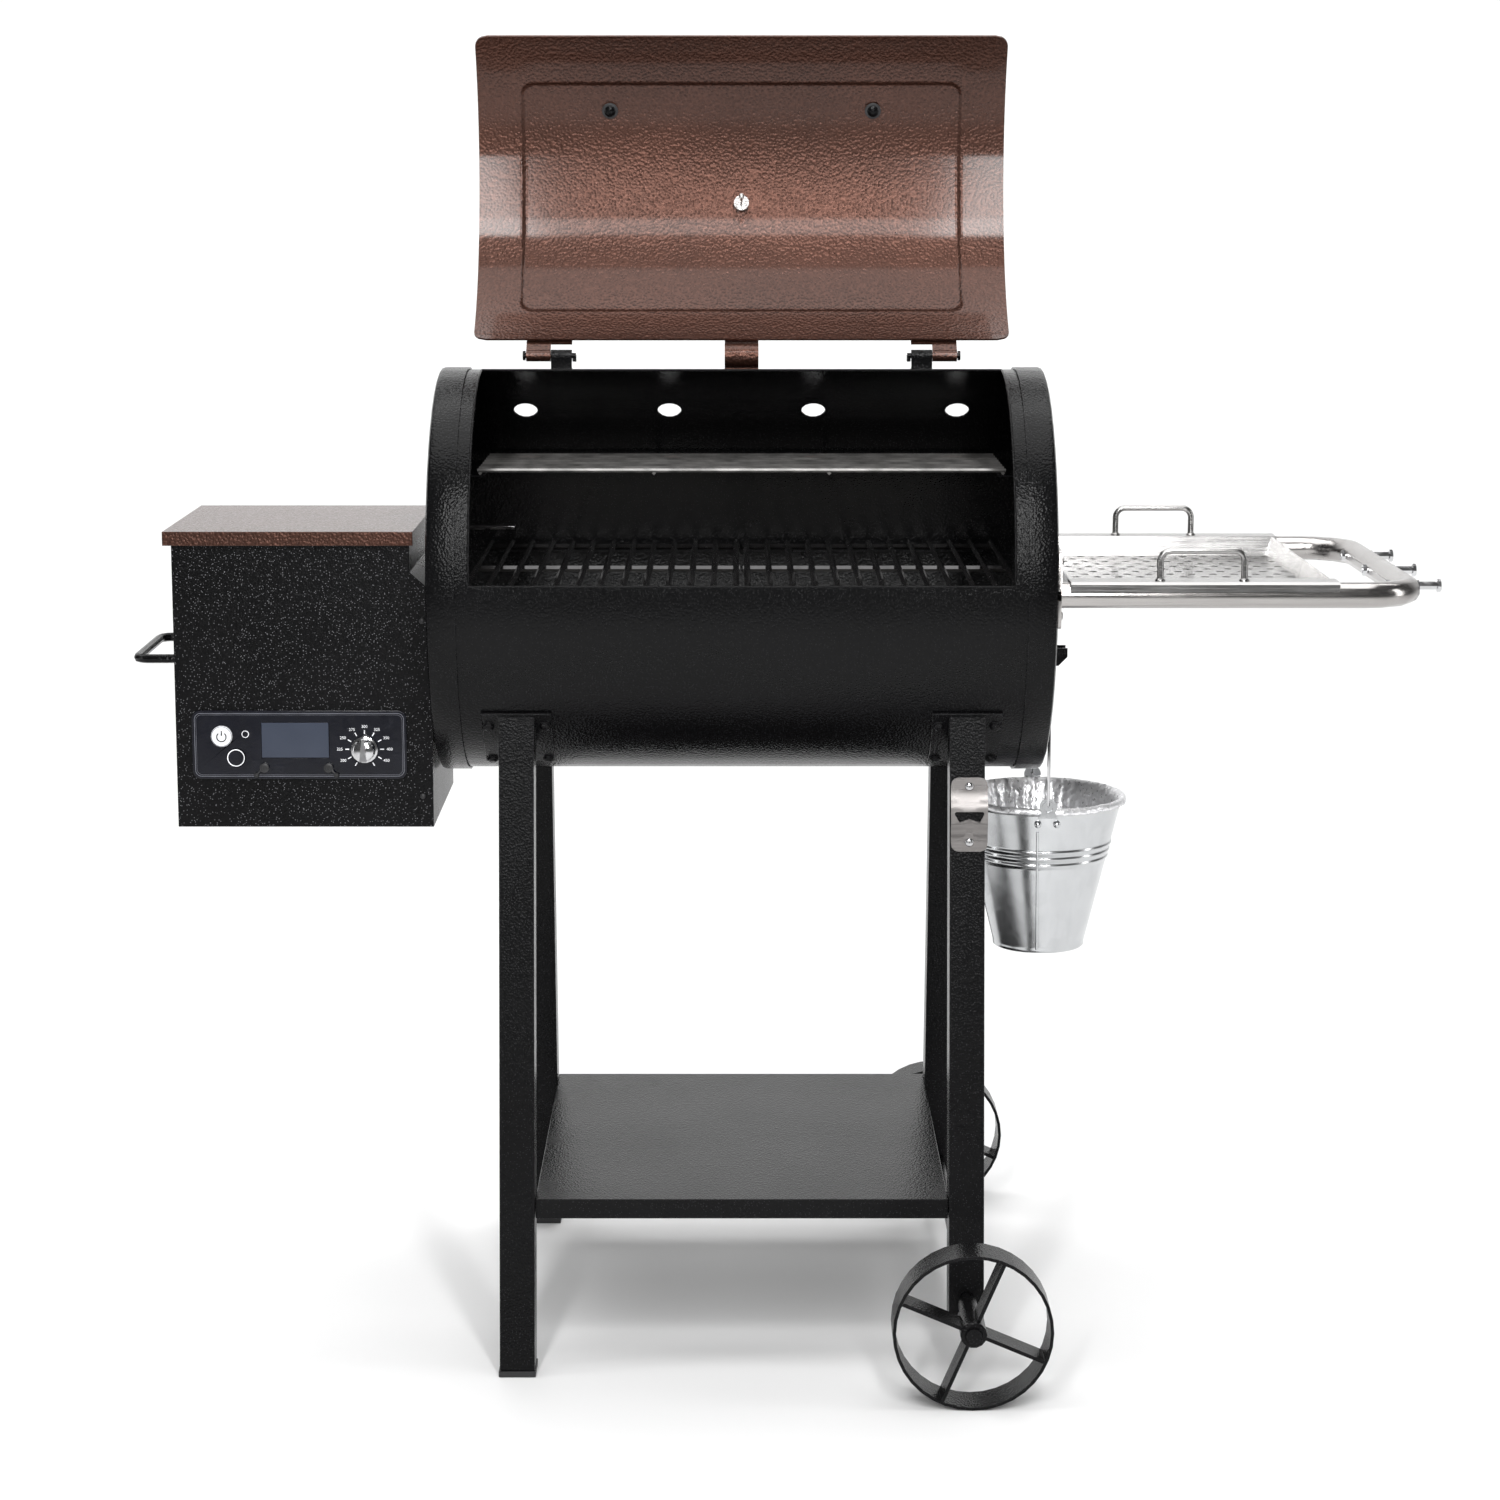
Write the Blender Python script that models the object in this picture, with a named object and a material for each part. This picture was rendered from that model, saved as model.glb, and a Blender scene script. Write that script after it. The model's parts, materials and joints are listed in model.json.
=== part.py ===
"""Pellet smoker grill: barrel, lid, hopper with controls and auger, side shelf, bucket, legs and wheels.

Metres, +Z up. Shapes are written with X from the middle of the barrel, Y from its axis plane
(front is -Y) and Z from the ground. The root empty shifts everything so that the middle of the
object's outer box stands on the origin. Angles round the barrel run from the front (-Y) upwards.
"""
from math import cos, degrees, pi, radians, sin, sqrt

import bmesh
import bpy
from mathutils import Matrix, Vector

# ---------------------------------------------------------------- driving dimensions
GAP = 0.0004                     # clearance between neighbouring pieces
AXIS = 0.760                     # height of the barrel axis
BARREL_R = 0.200
BARREL_HALF = 0.2954
BARREL_SHEET = 0.0018
CAP_FACE = 0.3004                # outer face of an end cap
CAP_SKIRT = 0.028
CAP_R = 0.2024
OPENING_HALF = 0.2595
OPENING_LOW = 2.2                # degrees
OPENING_HIGH = 90.0
EXHAUST_ANGLE = 131.3
EXHAUST_R = 0.0125
EXHAUST_STEP = 0.1496

LID_HALF = 0.2706
LID_INNER_R = 0.2015
LID_SHEET = 0.0020
LID_START = -3.6                 # degrees, front edge when closed
LID_END = 95.9
LID_CORNER = 0.013
LID_OPEN = 145.2                 # degrees it stands open
HINGE_Y = 0.0339
HINGE_Z = AXIS + 0.2116
HINGE_KNUCKLE_R = 0.006
HINGE_OUTER_X = 0.2170
HINGE_SPLIT_X = 0.1920
HINGE_INNER_X = 0.1710
HANDLE_ANGLE = 20.0
HANDLE_HALF = 0.135
THERMOMETER_ANGLE = 47.2

RACK_Z = AXIS + 0.0985
RACK_HALF = 0.2655
RACK_DEPTH = 0.170
GRATE_Z = AXIS + 0.0045
GRATE_HALF = 0.269
GRATE_REACH = 0.187
GRATE_RODS = 13
ROD_R = 0.003

AUGER_Z = AXIS - 0.155
AUGER_TUBE_R = 0.0255
AUGER_TUBE_LEFT = -0.500
POT_R = 0.040
FAN_X = -0.400
FAN_Y = 0.066
FAN_R = 0.036

HOPPER_LEFT = -0.5553
HOPPER_RIGHT = -0.3035
HOPPER_TOP_RIGHT = -0.3235
HOPPER_HALF = 0.112              # half its depth
HOPPER_BOTTOM = AXIS - 0.2425
HOPPER_TOP = AXIS + 0.0365
HOPPER_SHEET = 0.0012
HOPPER_LID_LEFT = -0.5629
HOPPER_LID_RIGHT = -0.3195
HOPPER_LID_HALF = 0.118
HOPPER_LID_TOP = AXIS + 0.0508
HOPPER_LID_SHEET = 0.0015
HOPPER_HINGE_Y = 0.1225
HOPPER_HINGE_Z = AXIS + 0.0405

PANEL_LEFT = -0.539
PANEL_RIGHT = -0.3288
PANEL_TOP = AXIS - 0.1258
PANEL_BOTTOM = AXIS - 0.1937
PANEL_FRONT = -0.1158
PANEL_BACK = -0.1126
POWER_X, POWER_Z, POWER_R = -0.5100, AXIS - 0.1513, 0.0105
PRIME_X, PRIME_Z, PRIME_R = -0.4962, AXIS - 0.1725, 0.0090
DIAL_X, DIAL_Z, DIAL_R = -0.3699, AXIS - 0.1641, 0.0132
LAMP_X, LAMP_Z = -0.4868, AXIS - 0.1491
JACK_XS, JACK_Z = (-0.4684, -0.4055), AXIS - 0.1823
DISPLAY = (-0.4711, -0.4047, AXIS - 0.1727, AXIS - 0.1373)

LEG_X = 0.218
LEG_SIZE = 0.034
LEG_SHEET = 0.0015
LEG_FOOT_Y = 0.2455              # outer face at the ground
LEG_TOP_Y = 0.160                # outer face at LEG_TOP_Z
LEG_TOP_Z = 0.633
LEG_SLOPE = (LEG_FOOT_Y - LEG_TOP_Y) / LEG_TOP_Z
LEG_LEFT_END = 0.0062
LEG_RIGHT_END = 0.050
LEG_PLATE_ANGLES = (-62.5, -36.6)
LEG_BOLT_ANGLES = (-59.8, -41.5)
SHELF_TOP = 0.170
SHELF_HALF_X = 0.2005
SHELF_HALF_Y = 0.2165
SHELF_FLANGE = 0.0195

WHEEL_R = 0.0761
WHEEL_FACE_Y = 0.3304
WHEEL_WIDTH = 0.0394
AXLE_R = 0.006

FRAME_Z = AXIS - 0.002
FRAME_HALF = 0.185
FRAME_END = 0.643
FRAME_R = 0.0125
FRAME_BEND = 0.050
PEG_STEP = 0.117
TRAY_LEFT = 0.312
TRAY_RIGHT = 0.567
TRAY_RIM_Z = AXIS + 0.0116
TRAY_FLOOR_Z = AXIS - 0.0080

BUCKET_X = 0.3045
BUCKET_RIM_Z = AXIS - 0.2335
BUCKET_FOOT_Z = AXIS - 0.3875
BUCKET_RIM_R = 0.083
BUCKET_FOOT_R = 0.0453
EAR_Z = AXIS - 0.228
BAIL_TOP_Z = AXIS - 0.0768
BAIL_HALF = 0.0875
SPOUT_TOP_Z = AXIS - 0.080

OUTER_LEFT = -0.604              # hopper handle
OUTER_RIGHT = 0.680              # tool pegs

for old in list(bpy.data.objects):
    bpy.data.objects.remove(old, do_unlink=True)

helpers = bpy.data.collections.new("helpers")
bpy.context.scene.collection.children.link(helpers)


# ---------------------------------------------------------------- materials
def finish(name, colour, roughness, metallic):
    material = bpy.data.materials.new(name)
    material.use_nodes = True
    shader = material.node_tree.nodes["Principled BSDF"]
    shader.inputs["Base Color"].default_value = (*colour, 1.0)
    shader.inputs["Roughness"].default_value = roughness
    shader.inputs["Metallic"].default_value = metallic
    return material


black_paint = finish("black_paint", (0.012, 0.012, 0.013), 0.35, 0.0)
bronze_paint = finish("bronze_paint", (0.13, 0.055, 0.032), 0.35, 0.4)
stainless = finish("stainless", (0.62, 0.60, 0.58), 0.25, 1.0)
bright_steel = finish("bright_steel", (0.75, 0.75, 0.75), 0.12, 1.0)
galvanised = finish("galvanised", (0.60, 0.62, 0.64), 0.30, 1.0)
foil = finish("foil", (0.86, 0.86, 0.87), 0.18, 1.0)
enamel = finish("enamel", (0.02, 0.02, 0.021), 0.22, 0.0)
black_plastic = finish("black_plastic", (0.015, 0.015, 0.016), 0.5, 0.0)
panel_blue = finish("panel_blue", (0.010, 0.012, 0.022), 0.2, 0.0)
display_grey = finish("display_grey", (0.055, 0.065, 0.095), 0.15, 0.0)
white_plastic = finish("white_plastic", (0.80, 0.80, 0.80), 0.4, 0.0)
clear_glass = finish("clear_glass", (0.9, 0.9, 0.9), 0.05, 0.0)
red_paint = finish("red_paint", (0.5, 0.02, 0.02), 0.4, 0.0)
raw_steel = finish("raw_steel", (0.35, 0.34, 0.33), 0.45, 1.0)


# ---------------------------------------------------------------- closed shapes: (points, faces)
def prism(outline, start, end, along):
    """A flat outline pushed along an axis; its two numbers are the other two axes in X, Y, Z order."""
    place = {"X": lambda a, b, t: (t, a, b),
             "Y": lambda a, b, t: (a, t, b),
             "Z": lambda a, b, t: (a, b, t)}[along]
    count = len(outline)
    points = [place(a, b, t) for t in (start, end) for a, b in outline]
    faces = [list(range(count)), list(range(count, 2 * count))]
    for i in range(count):
        j = (i + 1) % count
        faces.append([i, j, count + j, count + i])
    return points, faces


def block(x0, x1, y0, y1, z0, z1):
    return prism([(x0, y0), (x1, y0), (x1, y1), (x0, y1)], z0, z1, "Z")


def loft(rings):
    """Rings of equally many points, joined in order, with both ends closed."""
    count = len(rings[0])
    points = [p for ring in rings for p in ring]
    faces = [list(range(count)), list(range(len(points) - count, len(points)))]
    for level in range(len(rings) - 1):
        for i in range(count):
            j = (i + 1) % count
            a, b = level * count, (level + 1) * count
            faces.append([a + i, a + j, b + j, b + i])
    return points, faces


def ring_shell(rings):
    """Rings joined in order, the last back to the first: a shell with openings at its ends."""
    count = len(rings[0])
    points = [p for ring in rings for p in ring]
    faces = []
    for level in range(len(rings)):
        for i in range(count):
            j = (i + 1) % count
            a, b = level * count, ((level + 1) % len(rings)) * count
            faces.append([a + i, a + j, b + j, b + i])
    return points, faces


def turned(profile, centre, direction, segments=24, closed=False):
    """A profile of (radius, distance) turned round a line through centre; closed joins its ends."""
    turn = Vector((0, 0, 1)).rotation_difference(Vector(direction)).to_matrix()
    points = []
    rows = []
    for radius, distance in profile:
        if radius == 0:
            rows.append([len(points)] * segments)
            points.append(Vector((0, 0, distance)))
            continue
        rows.append(list(range(len(points), len(points) + segments)))
        for k in range(segments):
            angle = 2 * pi * k / segments
            points.append(Vector((radius * cos(angle), radius * sin(angle), distance)))
    faces = []
    pairs = list(zip(rows, rows[1:]))
    if closed:
        pairs.append((rows[-1], rows[0]))
    for low, high in pairs:
        for k in range(segments):
            j = (k + 1) % segments
            corners = list(dict.fromkeys([low[k], low[j], high[j], high[k]]))
            if len(corners) > 2:
                faces.append(corners)
    return [tuple(Vector(centre) + turn @ p) for p in points], faces


def rod(start, end, radius, segments=12):
    """A plain round bar between two points."""
    direction = Vector(end) - Vector(start)
    length = direction.length
    return turned([(0, 0), (radius, 0), (radius, length), (0, length)], start, direction, segments)


def rounded(corners, radius, steps=4):
    """The path through corner points with each inner corner replaced by an arc."""
    corners = [Vector(c) for c in corners]
    path = [corners[0]]
    for before, corner, after in zip(corners, corners[1:], corners[2:]):
        back = (before - corner).normalized()
        ahead = (after - corner).normalized()
        half = back.angle(ahead) / 2
        reach = radius / (sin(half) / cos(half))
        middle = corner + (back + ahead).normalized() * (radius / sin(half))
        first = corner + back * reach - middle
        last = corner + ahead * reach - middle
        for k in range(steps + 1):
            path.append(middle + first.lerp(last, k / steps).normalized() * radius)
    path.append(corners[-1])
    return path


def bar(path, radius, sides=10):
    """A round bar bent along a path."""
    path = [Vector(p) for p in path]
    tangent = (path[1] - path[0]).normalized()
    side = tangent.orthogonal().normalized()
    rings = []
    for i, point in enumerate(path):
        before = path[max(i - 1, 0)]
        after = path[min(i + 1, len(path) - 1)]
        new = (after - before).normalized()
        side = tangent.rotation_difference(new) @ side
        tangent = new
        other = tangent.cross(side)
        turns = [2 * pi * k / sides for k in range(sides)]
        rings.append([tuple(point + radius * (cos(a) * side + sin(a) * other)) for a in turns])
    return loft(rings)


def strip(line, thickness):
    """The outline of a bent strip of sheet, from its middle line of (a, b) points."""
    left, right = [], []
    for i, (a, b) in enumerate(line):
        before = line[max(i - 1, 0)]
        after = line[min(i + 1, len(line) - 1)]
        incoming = Vector((a - before[0], b - before[1])) if i else None
        outgoing = Vector((after[0] - a, after[1] - b)) if i < len(line) - 1 else None
        first = (incoming or outgoing).normalized()
        second = (outgoing or incoming).normalized()
        normal = Vector((-first.y - second.y, first.x + second.x)).normalized()
        stretch = thickness / 2 / max(0.4, normal.dot(Vector((-first.y, first.x))))
        left.append((a + normal.x * stretch, b + normal.y * stretch))
        right.append((a - normal.x * stretch, b - normal.y * stretch))
    return left + right[::-1]


def arc(centre, radius, start, end, steps):
    """Points round a centre in a plane, angles in degrees from the first axis to the second."""
    turns = [radians(start + (end - start) * k / steps) for k in range(steps + 1)]
    return [(centre[0] + radius * cos(a), centre[1] + radius * sin(a)) for a in turns]


def rounded_rectangle(a0, a1, b0, b1, radius, steps=4):
    outline = []
    for a, b, start in ((a1, b1, 0), (a0, b1, 90), (a0, b0, 180), (a1, b0, 270)):
        centre = (a - radius if a == a1 else a + radius, b - radius if b == b1 else b + radius)
        outline += arc(centre, radius, start, start + 90, steps)
    return outline


def on_barrel(x, radius, angle):
    """The point at an angle round the barrel axis, measured from the front upwards."""
    return Vector((x, -radius * cos(radians(angle)), AXIS + radius * sin(radians(angle))))


def outward(angle):
    return Vector((0, -cos(radians(angle)), sin(radians(angle))))


# ---------------------------------------------------------------- objects
root = bpy.data.objects.new("root", None)
root.location = (-(OUTER_LEFT + OUTER_RIGHT) / 2, 0, 0)
bpy.context.scene.collection.objects.link(root)


def joint_empty(name, location, turn=0.0):
    empty = bpy.data.objects.new(name, None)
    empty.parent = root
    empty.location = location
    empty.rotation_euler = (turn, 0, 0)
    bpy.context.scene.collection.objects.link(empty)
    return empty


lid_joint = joint_empty("lid_joint", (0, HINGE_Y, HINGE_Z), -radians(LID_OPEN))


def link(name, shape, material, parent, origin, collection):
    mesh = bpy.data.meshes.new(name)
    points, faces = shape
    mesh.from_pydata([tuple(Vector(p) - Vector(origin)) for p in points], [], faces)
    if material:
        work = bmesh.new()
        work.from_mesh(mesh)
        bmesh.ops.recalc_face_normals(work, faces=work.faces)
        work.to_mesh(mesh)
        work.free()
    mesh.shade_smooth()
    mesh.set_sharp_from_angle(angle=radians(35))
    thing = bpy.data.objects.new(name, mesh)
    if material:
        mesh.materials.append(material)
    thing.parent = parent
    if parent is root:
        thing.location = origin
    collection.objects.link(thing)
    return thing


def combine(thing, operation, shapes, material, parent, origin):
    """A Boolean with a hidden group of shapes; every shape is in the same coordinates as the piece."""
    group = bpy.data.collections.new(thing.name + "_" + operation.lower())
    helpers.children.link(group)
    for number, shape in enumerate(shapes):
        helper = link(f"{thing.name}_{operation.lower()}_{number}", shape, material, parent, origin, group)
        helper.hide_render = True
        helper.display_type = "WIRE"
    modifier = thing.modifiers.new(operation.lower(), "BOOLEAN")
    modifier.operation = operation
    modifier.operand_type = "COLLECTION"
    modifier.collection = group


def piece(name, material, shape, add=(), cut=(), origin=(0, 0, 0), parent=root):
    """One named piece: a closed shape, with others joined to it and others cut out of it."""
    thing = link(name, shape, material, parent, origin, bpy.context.scene.collection)
    if add:
        combine(thing, "UNION", add, material, parent, origin)
    if cut:
        combine(thing, "DIFFERENCE", cut, material, parent, origin)
    return thing


def lid_piece(name, material, shape, add=(), cut=()):
    """A piece of the lid, written as it lies when the lid is shut."""
    return piece(name, material, shape, add, cut, (0, HINGE_Y, HINGE_Z), lid_joint)


def curved_sheet(name, rows, inner_radius, thickness, missing=lambda row, column: False):
    """Sheet round the barrel axis. A row is (angle, x positions); a missing cell is an opening."""
    width = len(rows[0][1])
    outer = [tuple(on_barrel(x, inner_radius + thickness, angle)) for angle, xs in rows for x in xs]
    inner = [tuple(on_barrel(x, inner_radius, angle)) for angle, xs in rows for x in xs]
    whole_turn = abs(rows[-1][0] - rows[0][0]) > 359.9
    levels = len(rows) - 1
    if whole_turn:
        outer = outer[:-width]
        inner = inner[:-width]
    count = len(outer)
    cells = {(r, c) for r in range(levels) for c in range(width - 1) if not missing(r, c)}
    faces = []

    def corner(row, column):
        return (row * width + column) % count if whole_turn else row * width + column

    for r, c in sorted(cells):
        quad = [corner(r, c), corner(r, c + 1), corner(r + 1, c + 1), corner(r + 1, c)]
        faces.append(quad)
        faces.append([count + k for k in reversed(quad)])
        for (dr, dc), (a, b) in {(-1, 0): (0, 1), (0, 1): (1, 2), (1, 0): (2, 3), (0, -1): (3, 0)}.items():
            beside = ((r + dr) % levels if whole_turn else r + dr, c + dc)
            if beside not in cells:
                faces.append([quad[b], quad[a], count + quad[a], count + quad[b]])
    used = sorted({k for face in faces for k in face})
    new_number = {k: n for n, k in enumerate(used)}
    everything = outer + inner
    return [everything[k] for k in used], [[new_number[k] for k in face] for face in faces]


# ---------------------------------------------------------------- barrel and end caps
def barrel_shell():
    front = [OPENING_LOW + (OPENING_HIGH - OPENING_LOW) * k / 12 for k in range(13)]
    back_span = 360 - (OPENING_HIGH - OPENING_LOW)
    back = [OPENING_HIGH + back_span * k / 38 for k in range(1, 39)]
    columns = [-BARREL_HALF, -OPENING_HALF, OPENING_HALF, BARREL_HALF]
    rows = [(angle, columns) for angle in front + back]
    shape = curved_sheet("barrel", rows, BARREL_R - BARREL_SHEET, BARREL_SHEET,
                         lambda row, column: row < 12 and column == 1)
    ledge = 0.182
    ledges = [block(-0.257, 0.257, side * ledge, side * 0.1990, AXIS - 0.0060, AXIS - 0.0040)
              for side in (-1, 1)]
    holes = [rod(on_barrel(k * EXHAUST_STEP / 2, 0.19, EXHAUST_ANGLE),
                 on_barrel(k * EXHAUST_STEP / 2, 0.21, EXHAUST_ANGLE), EXHAUST_R, 14)
             for k in (-3, -1, 1, 3)]
    piece("barrel_shell", black_paint, shape, ledges, holes)


def end_cap(side, cuts):
    """Pressed disc with a rounded edge and a skirt over the barrel, and the upper rack's bracket."""
    edge = 0.005
    sheet = 0.0018
    curve = [(CAP_R - edge + edge * sin(radians(a)), CAP_FACE - edge + edge * cos(radians(a)))
             for a in (0, 45, 90)]
    profile = [(0, CAP_FACE)] + curve + [(CAP_R, CAP_FACE - CAP_SKIRT),
                                        (CAP_R - sheet, CAP_FACE - CAP_SKIRT),
                                        (CAP_R - sheet, CAP_FACE - sheet - 0.003),
                                        (CAP_R - sheet - 0.002, CAP_FACE - sheet),
                                        (0, CAP_FACE - sheet)]
    shape = turned(profile, (0, 0, AXIS), (side, 0, 0), 46)
    ledge_top = RACK_Z - 0.0050
    upright = strip([(side * 0.2980, AXIS + 0.070), (side * 0.2980, ledge_top - 0.0007),
                     (side * 0.2580, ledge_top - 0.0007)], 0.0015)
    bracket = prism(upright, 0.002, 0.165, "Y")
    foot = block(*sorted((side * 0.2990, side * 0.2975)), 0.004, 0.163, AXIS + 0.071, AXIS + 0.088)
    name = "end_cap_left" if side < 0 else "end_cap_right"
    piece(name, black_paint, shape, [bracket, foot], cuts)


def duct_hole(x0, x1):
    return block(x0, x1, 0.045, 0.075, AXIS - 0.172, AXIS - 0.148)


def caps():
    auger_hole = rod((-0.32, 0, AUGER_Z), (-0.27, 0, AUGER_Z), AUGER_TUBE_R + 0.0012, 18)
    end_cap(-1, [auger_hole, duct_hole(-0.31, -0.29)])
    end_cap(1, [block(0.29, 0.31, -0.0095, 0.0095, SPOUT_TOP_Z - 0.0165, SPOUT_TOP_Z - 0.002)])


# ---------------------------------------------------------------- lid
def main_lid():
    half_angle_step = degrees(LID_CORNER / LID_INNER_R)
    near_end = [half_angle_step * (1 - cos(radians(a))) for a in (0, 45, 90)]
    middle = 18
    span = LID_END - LID_START - 2 * half_angle_step
    angles = [LID_START + a for a in near_end]
    angles += [LID_START + half_angle_step + span * k / middle for k in range(1, middle)]
    angles += [LID_END - a for a in reversed(near_end)]

    def half_width(angle):
        inside = min(angle - LID_START, LID_END - angle) / half_angle_step
        if inside >= 1:
            return LID_HALF
        return LID_HALF - LID_CORNER * (1 - sqrt(max(0.0, 1 - (1 - inside) ** 2)))

    rows = [(a, [-half_width(a), -LID_HALF / 3, LID_HALF / 3, half_width(a)]) for a in angles]
    shape = curved_sheet("lid", rows, LID_INNER_R, LID_SHEET)
    holes = [rod(on_barrel(side * HANDLE_HALF, 0.19, HANDLE_ANGLE),
                 on_barrel(side * HANDLE_HALF, 0.21, HANDLE_ANGLE), 0.0040, 12) for side in (-1, 1)]
    holes.append(rod(on_barrel(0, 0.19, THERMOMETER_ANGLE),
                     on_barrel(0, 0.21, THERMOMETER_ANGLE), 0.0036, 12))
    lid_piece("main_lid", bronze_paint, shape, cut=holes)


def lid_handle():
    corners = [on_barrel(-HANDLE_HALF, 0.2050, HANDLE_ANGLE), on_barrel(-HANDLE_HALF, 0.2520, HANDLE_ANGLE),
               on_barrel(HANDLE_HALF, 0.2520, HANDLE_ANGLE), on_barrel(HANDLE_HALF, 0.2050, HANDLE_ANGLE)]
    feet = []
    for side in (-1, 1):
        stud = [(0, 0.1955), (0.0040, 0.1960), (0.0058, 0.1975), (0.0058, 0.2010), (0.0034, 0.2010),
                (0.0034, 0.2041), (0.0115, 0.2041), (0.0115, 0.2065), (0, 0.2065)]
        feet.append(turned(stud, (side * HANDLE_HALF, 0, AXIS), outward(HANDLE_ANGLE), 10))
    lid_piece("lid_handle", bright_steel, bar(rounded(corners, 0.022), 0.008, 10), feet)


def thermometer():
    centre = (0, 0, AXIS)
    axis = outward(THERMOMETER_ANGLE)
    case = [(0, 0.1590), (0.0025, 0.1605), (0.0030, 0.1955), (0.0078, 0.1955), (0.0078, 0.2010),
            (0.0031, 0.2010), (0.0031, 0.2040), (0.0290, 0.2040), (0.0330, 0.2065), (0.0330, 0.2175),
            (0.0315, 0.2190), (0.0300, 0.2190), (0.0300, 0.2085), (0, 0.2085)]
    lid_piece("thermometer_case", stainless, turned(case, centre, axis, 20))
    glass = [(0, 0.2155), (0.0295, 0.2155), (0.0295, 0.2175), (0, 0.2175)]
    lid_piece("thermometer_glass", clear_glass, turned(glass, centre, axis, 20))
    base = on_barrel(0, 0.2093, THERMOMETER_ANGLE)
    hub = turned([(0, 0), (0.003, 0), (0.003, 0.0020), (0, 0.0020)], base, axis, 12)
    up = Vector((0, sin(radians(THERMOMETER_ANGLE)), cos(radians(THERMOMETER_ANGLE))))
    side = Vector((1, 0, 0))
    outline = [-0.008 * up - 0.0012 * side, -0.008 * up + 0.0012 * side, 0.024 * up + 0.0003 * side,
               0.024 * up - 0.0003 * side]
    rings = [[tuple(base + level * axis + p) for p in outline] for level in (0.0004, 0.0012)]
    lid_piece("thermometer_needle", red_paint, hub, [loft(rings)])


def hinges():
    """Two tabs with knuckles on the lid, two leaves with their pins on the barrel, and the stop tab."""
    for side, word in ((-1, "left"), (1, "right")):
        outer, split, inner = side * HINGE_OUTER_X, side * HINGE_SPLIT_X, side * HINGE_INNER_X
        low, high = sorted((outer, split + side * GAP))
        tab_z = AXIS + 0.2052
        plate = prism(strip([(-0.012, tab_z), (0.023, tab_z)], 0.0018), *sorted((outer, inner)), "X")
        arm = prism(strip([(0.018, tab_z), (0.0318, tab_z + 0.0018)], 0.0018), low, high, "X")
        ring = [(0.0033, low), (HINGE_KNUCKLE_R, low), (HINGE_KNUCKLE_R, high), (0.0033, high)]
        knuckle = turned(ring, (0, HINGE_Y, HINGE_Z), (1, 0, 0), 12, closed=True)
        bore = rod((low - 0.01, HINGE_Y, HINGE_Z), (high + 0.01, HINGE_Y, HINGE_Z), 0.0033, 12)
        lid_piece(f"hinge_tab_{word}", bronze_paint, plate, [arm, knuckle], [bore])

        low, high = sorted((split, inner))
        under, over = BARREL_R + 0.0008, BARREL_R + 0.0026
        foot_angles = [98.2, 102, 106, 110]
        foot = [tuple(on_barrel(0, under, a))[1:] for a in foot_angles]
        foot += [tuple(on_barrel(0, over, a))[1:] for a in reversed(foot_angles[1:])]
        foot += [(0.0308, HINGE_Z - 0.011), (0.0308, HINGE_Z - 0.001), (0.0285, HINGE_Z - 0.001)]
        leaf = prism(foot, low, high, "X")
        barrel_knuckle = rod((low, HINGE_Y, HINGE_Z), (high, HINGE_Y, HINGE_Z), HINGE_KNUCKLE_R, 12)
        pin = rod((outer + side * 0.001, HINGE_Y, HINGE_Z),
                  (inner - side * 0.004, HINGE_Y, HINGE_Z), 0.0027, 8)
        head = rod((outer + side * 0.0008, HINGE_Y, HINGE_Z),
                   (outer + side * 0.0035, HINGE_Y, HINGE_Z), 0.0048, 8)
        neck = rod((outer - side * 0.001, HINGE_Y, HINGE_Z),
                   (outer + side * 0.002, HINGE_Y, HINGE_Z), 0.0027, 8)
        tail = rod((inner - side * 0.0025, HINGE_Y, HINGE_Z - 0.006),
                   (inner - side * 0.0025, HINGE_Y, HINGE_Z + 0.001), 0.0020, 6)
        piece(f"hinge_leaf_{word}", black_paint, leaf, [barrel_knuckle, pin, head, neck, tail])


def lid_stop_tab():
    """A strip on the lid's outer face that curls round under the hinge line and stops on the barrel."""
    hinge = (HINGE_Y, HINGE_Z)
    flat_z = AXIS + 0.2052
    middle = [(-0.016, flat_z), (0.020, flat_z)]
    curl = arc(hinge, 0.0115, 222, 412, 14)
    line = middle + curl
    outline = strip(line, 0.0018)
    foot_angle = radians(416)
    foot = [(HINGE_Y + r * cos(foot_angle + t), HINGE_Z + r * sin(foot_angle + t))
            for r, t in ((0.0108, -0.12), (0.0138, -0.12), (0.0138, 0.06), (0.0108, 0.06))]
    lid_piece("lid_stop_tab", bronze_paint, prism(outline, -0.017, 0.017, "X"),
              [prism(foot, -0.017, 0.017, "X")])


# ---------------------------------------------------------------- racks inside the barrel
def upper_rack():
    ends = RACK_HALF
    wires = 8
    front, back = 0.004, RACK_DEPTH - 0.004
    along = [rod((-ends, front + (back - front) * k / (wires - 1), RACK_Z),
                 (ends, front + (back - front) * k / (wires - 1), RACK_Z), 0.0019, 4) for k in range(wires)]
    across = [rod((x, 0, RACK_Z - 0.0025), (x, RACK_DEPTH, RACK_Z - 0.0025), 0.0020, 4)
              for x in (-ends + 0.003, -0.088, 0.088, ends - 0.003)]
    piece("upper_rack", bright_steel, across[0], across[1:] + along)


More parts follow.
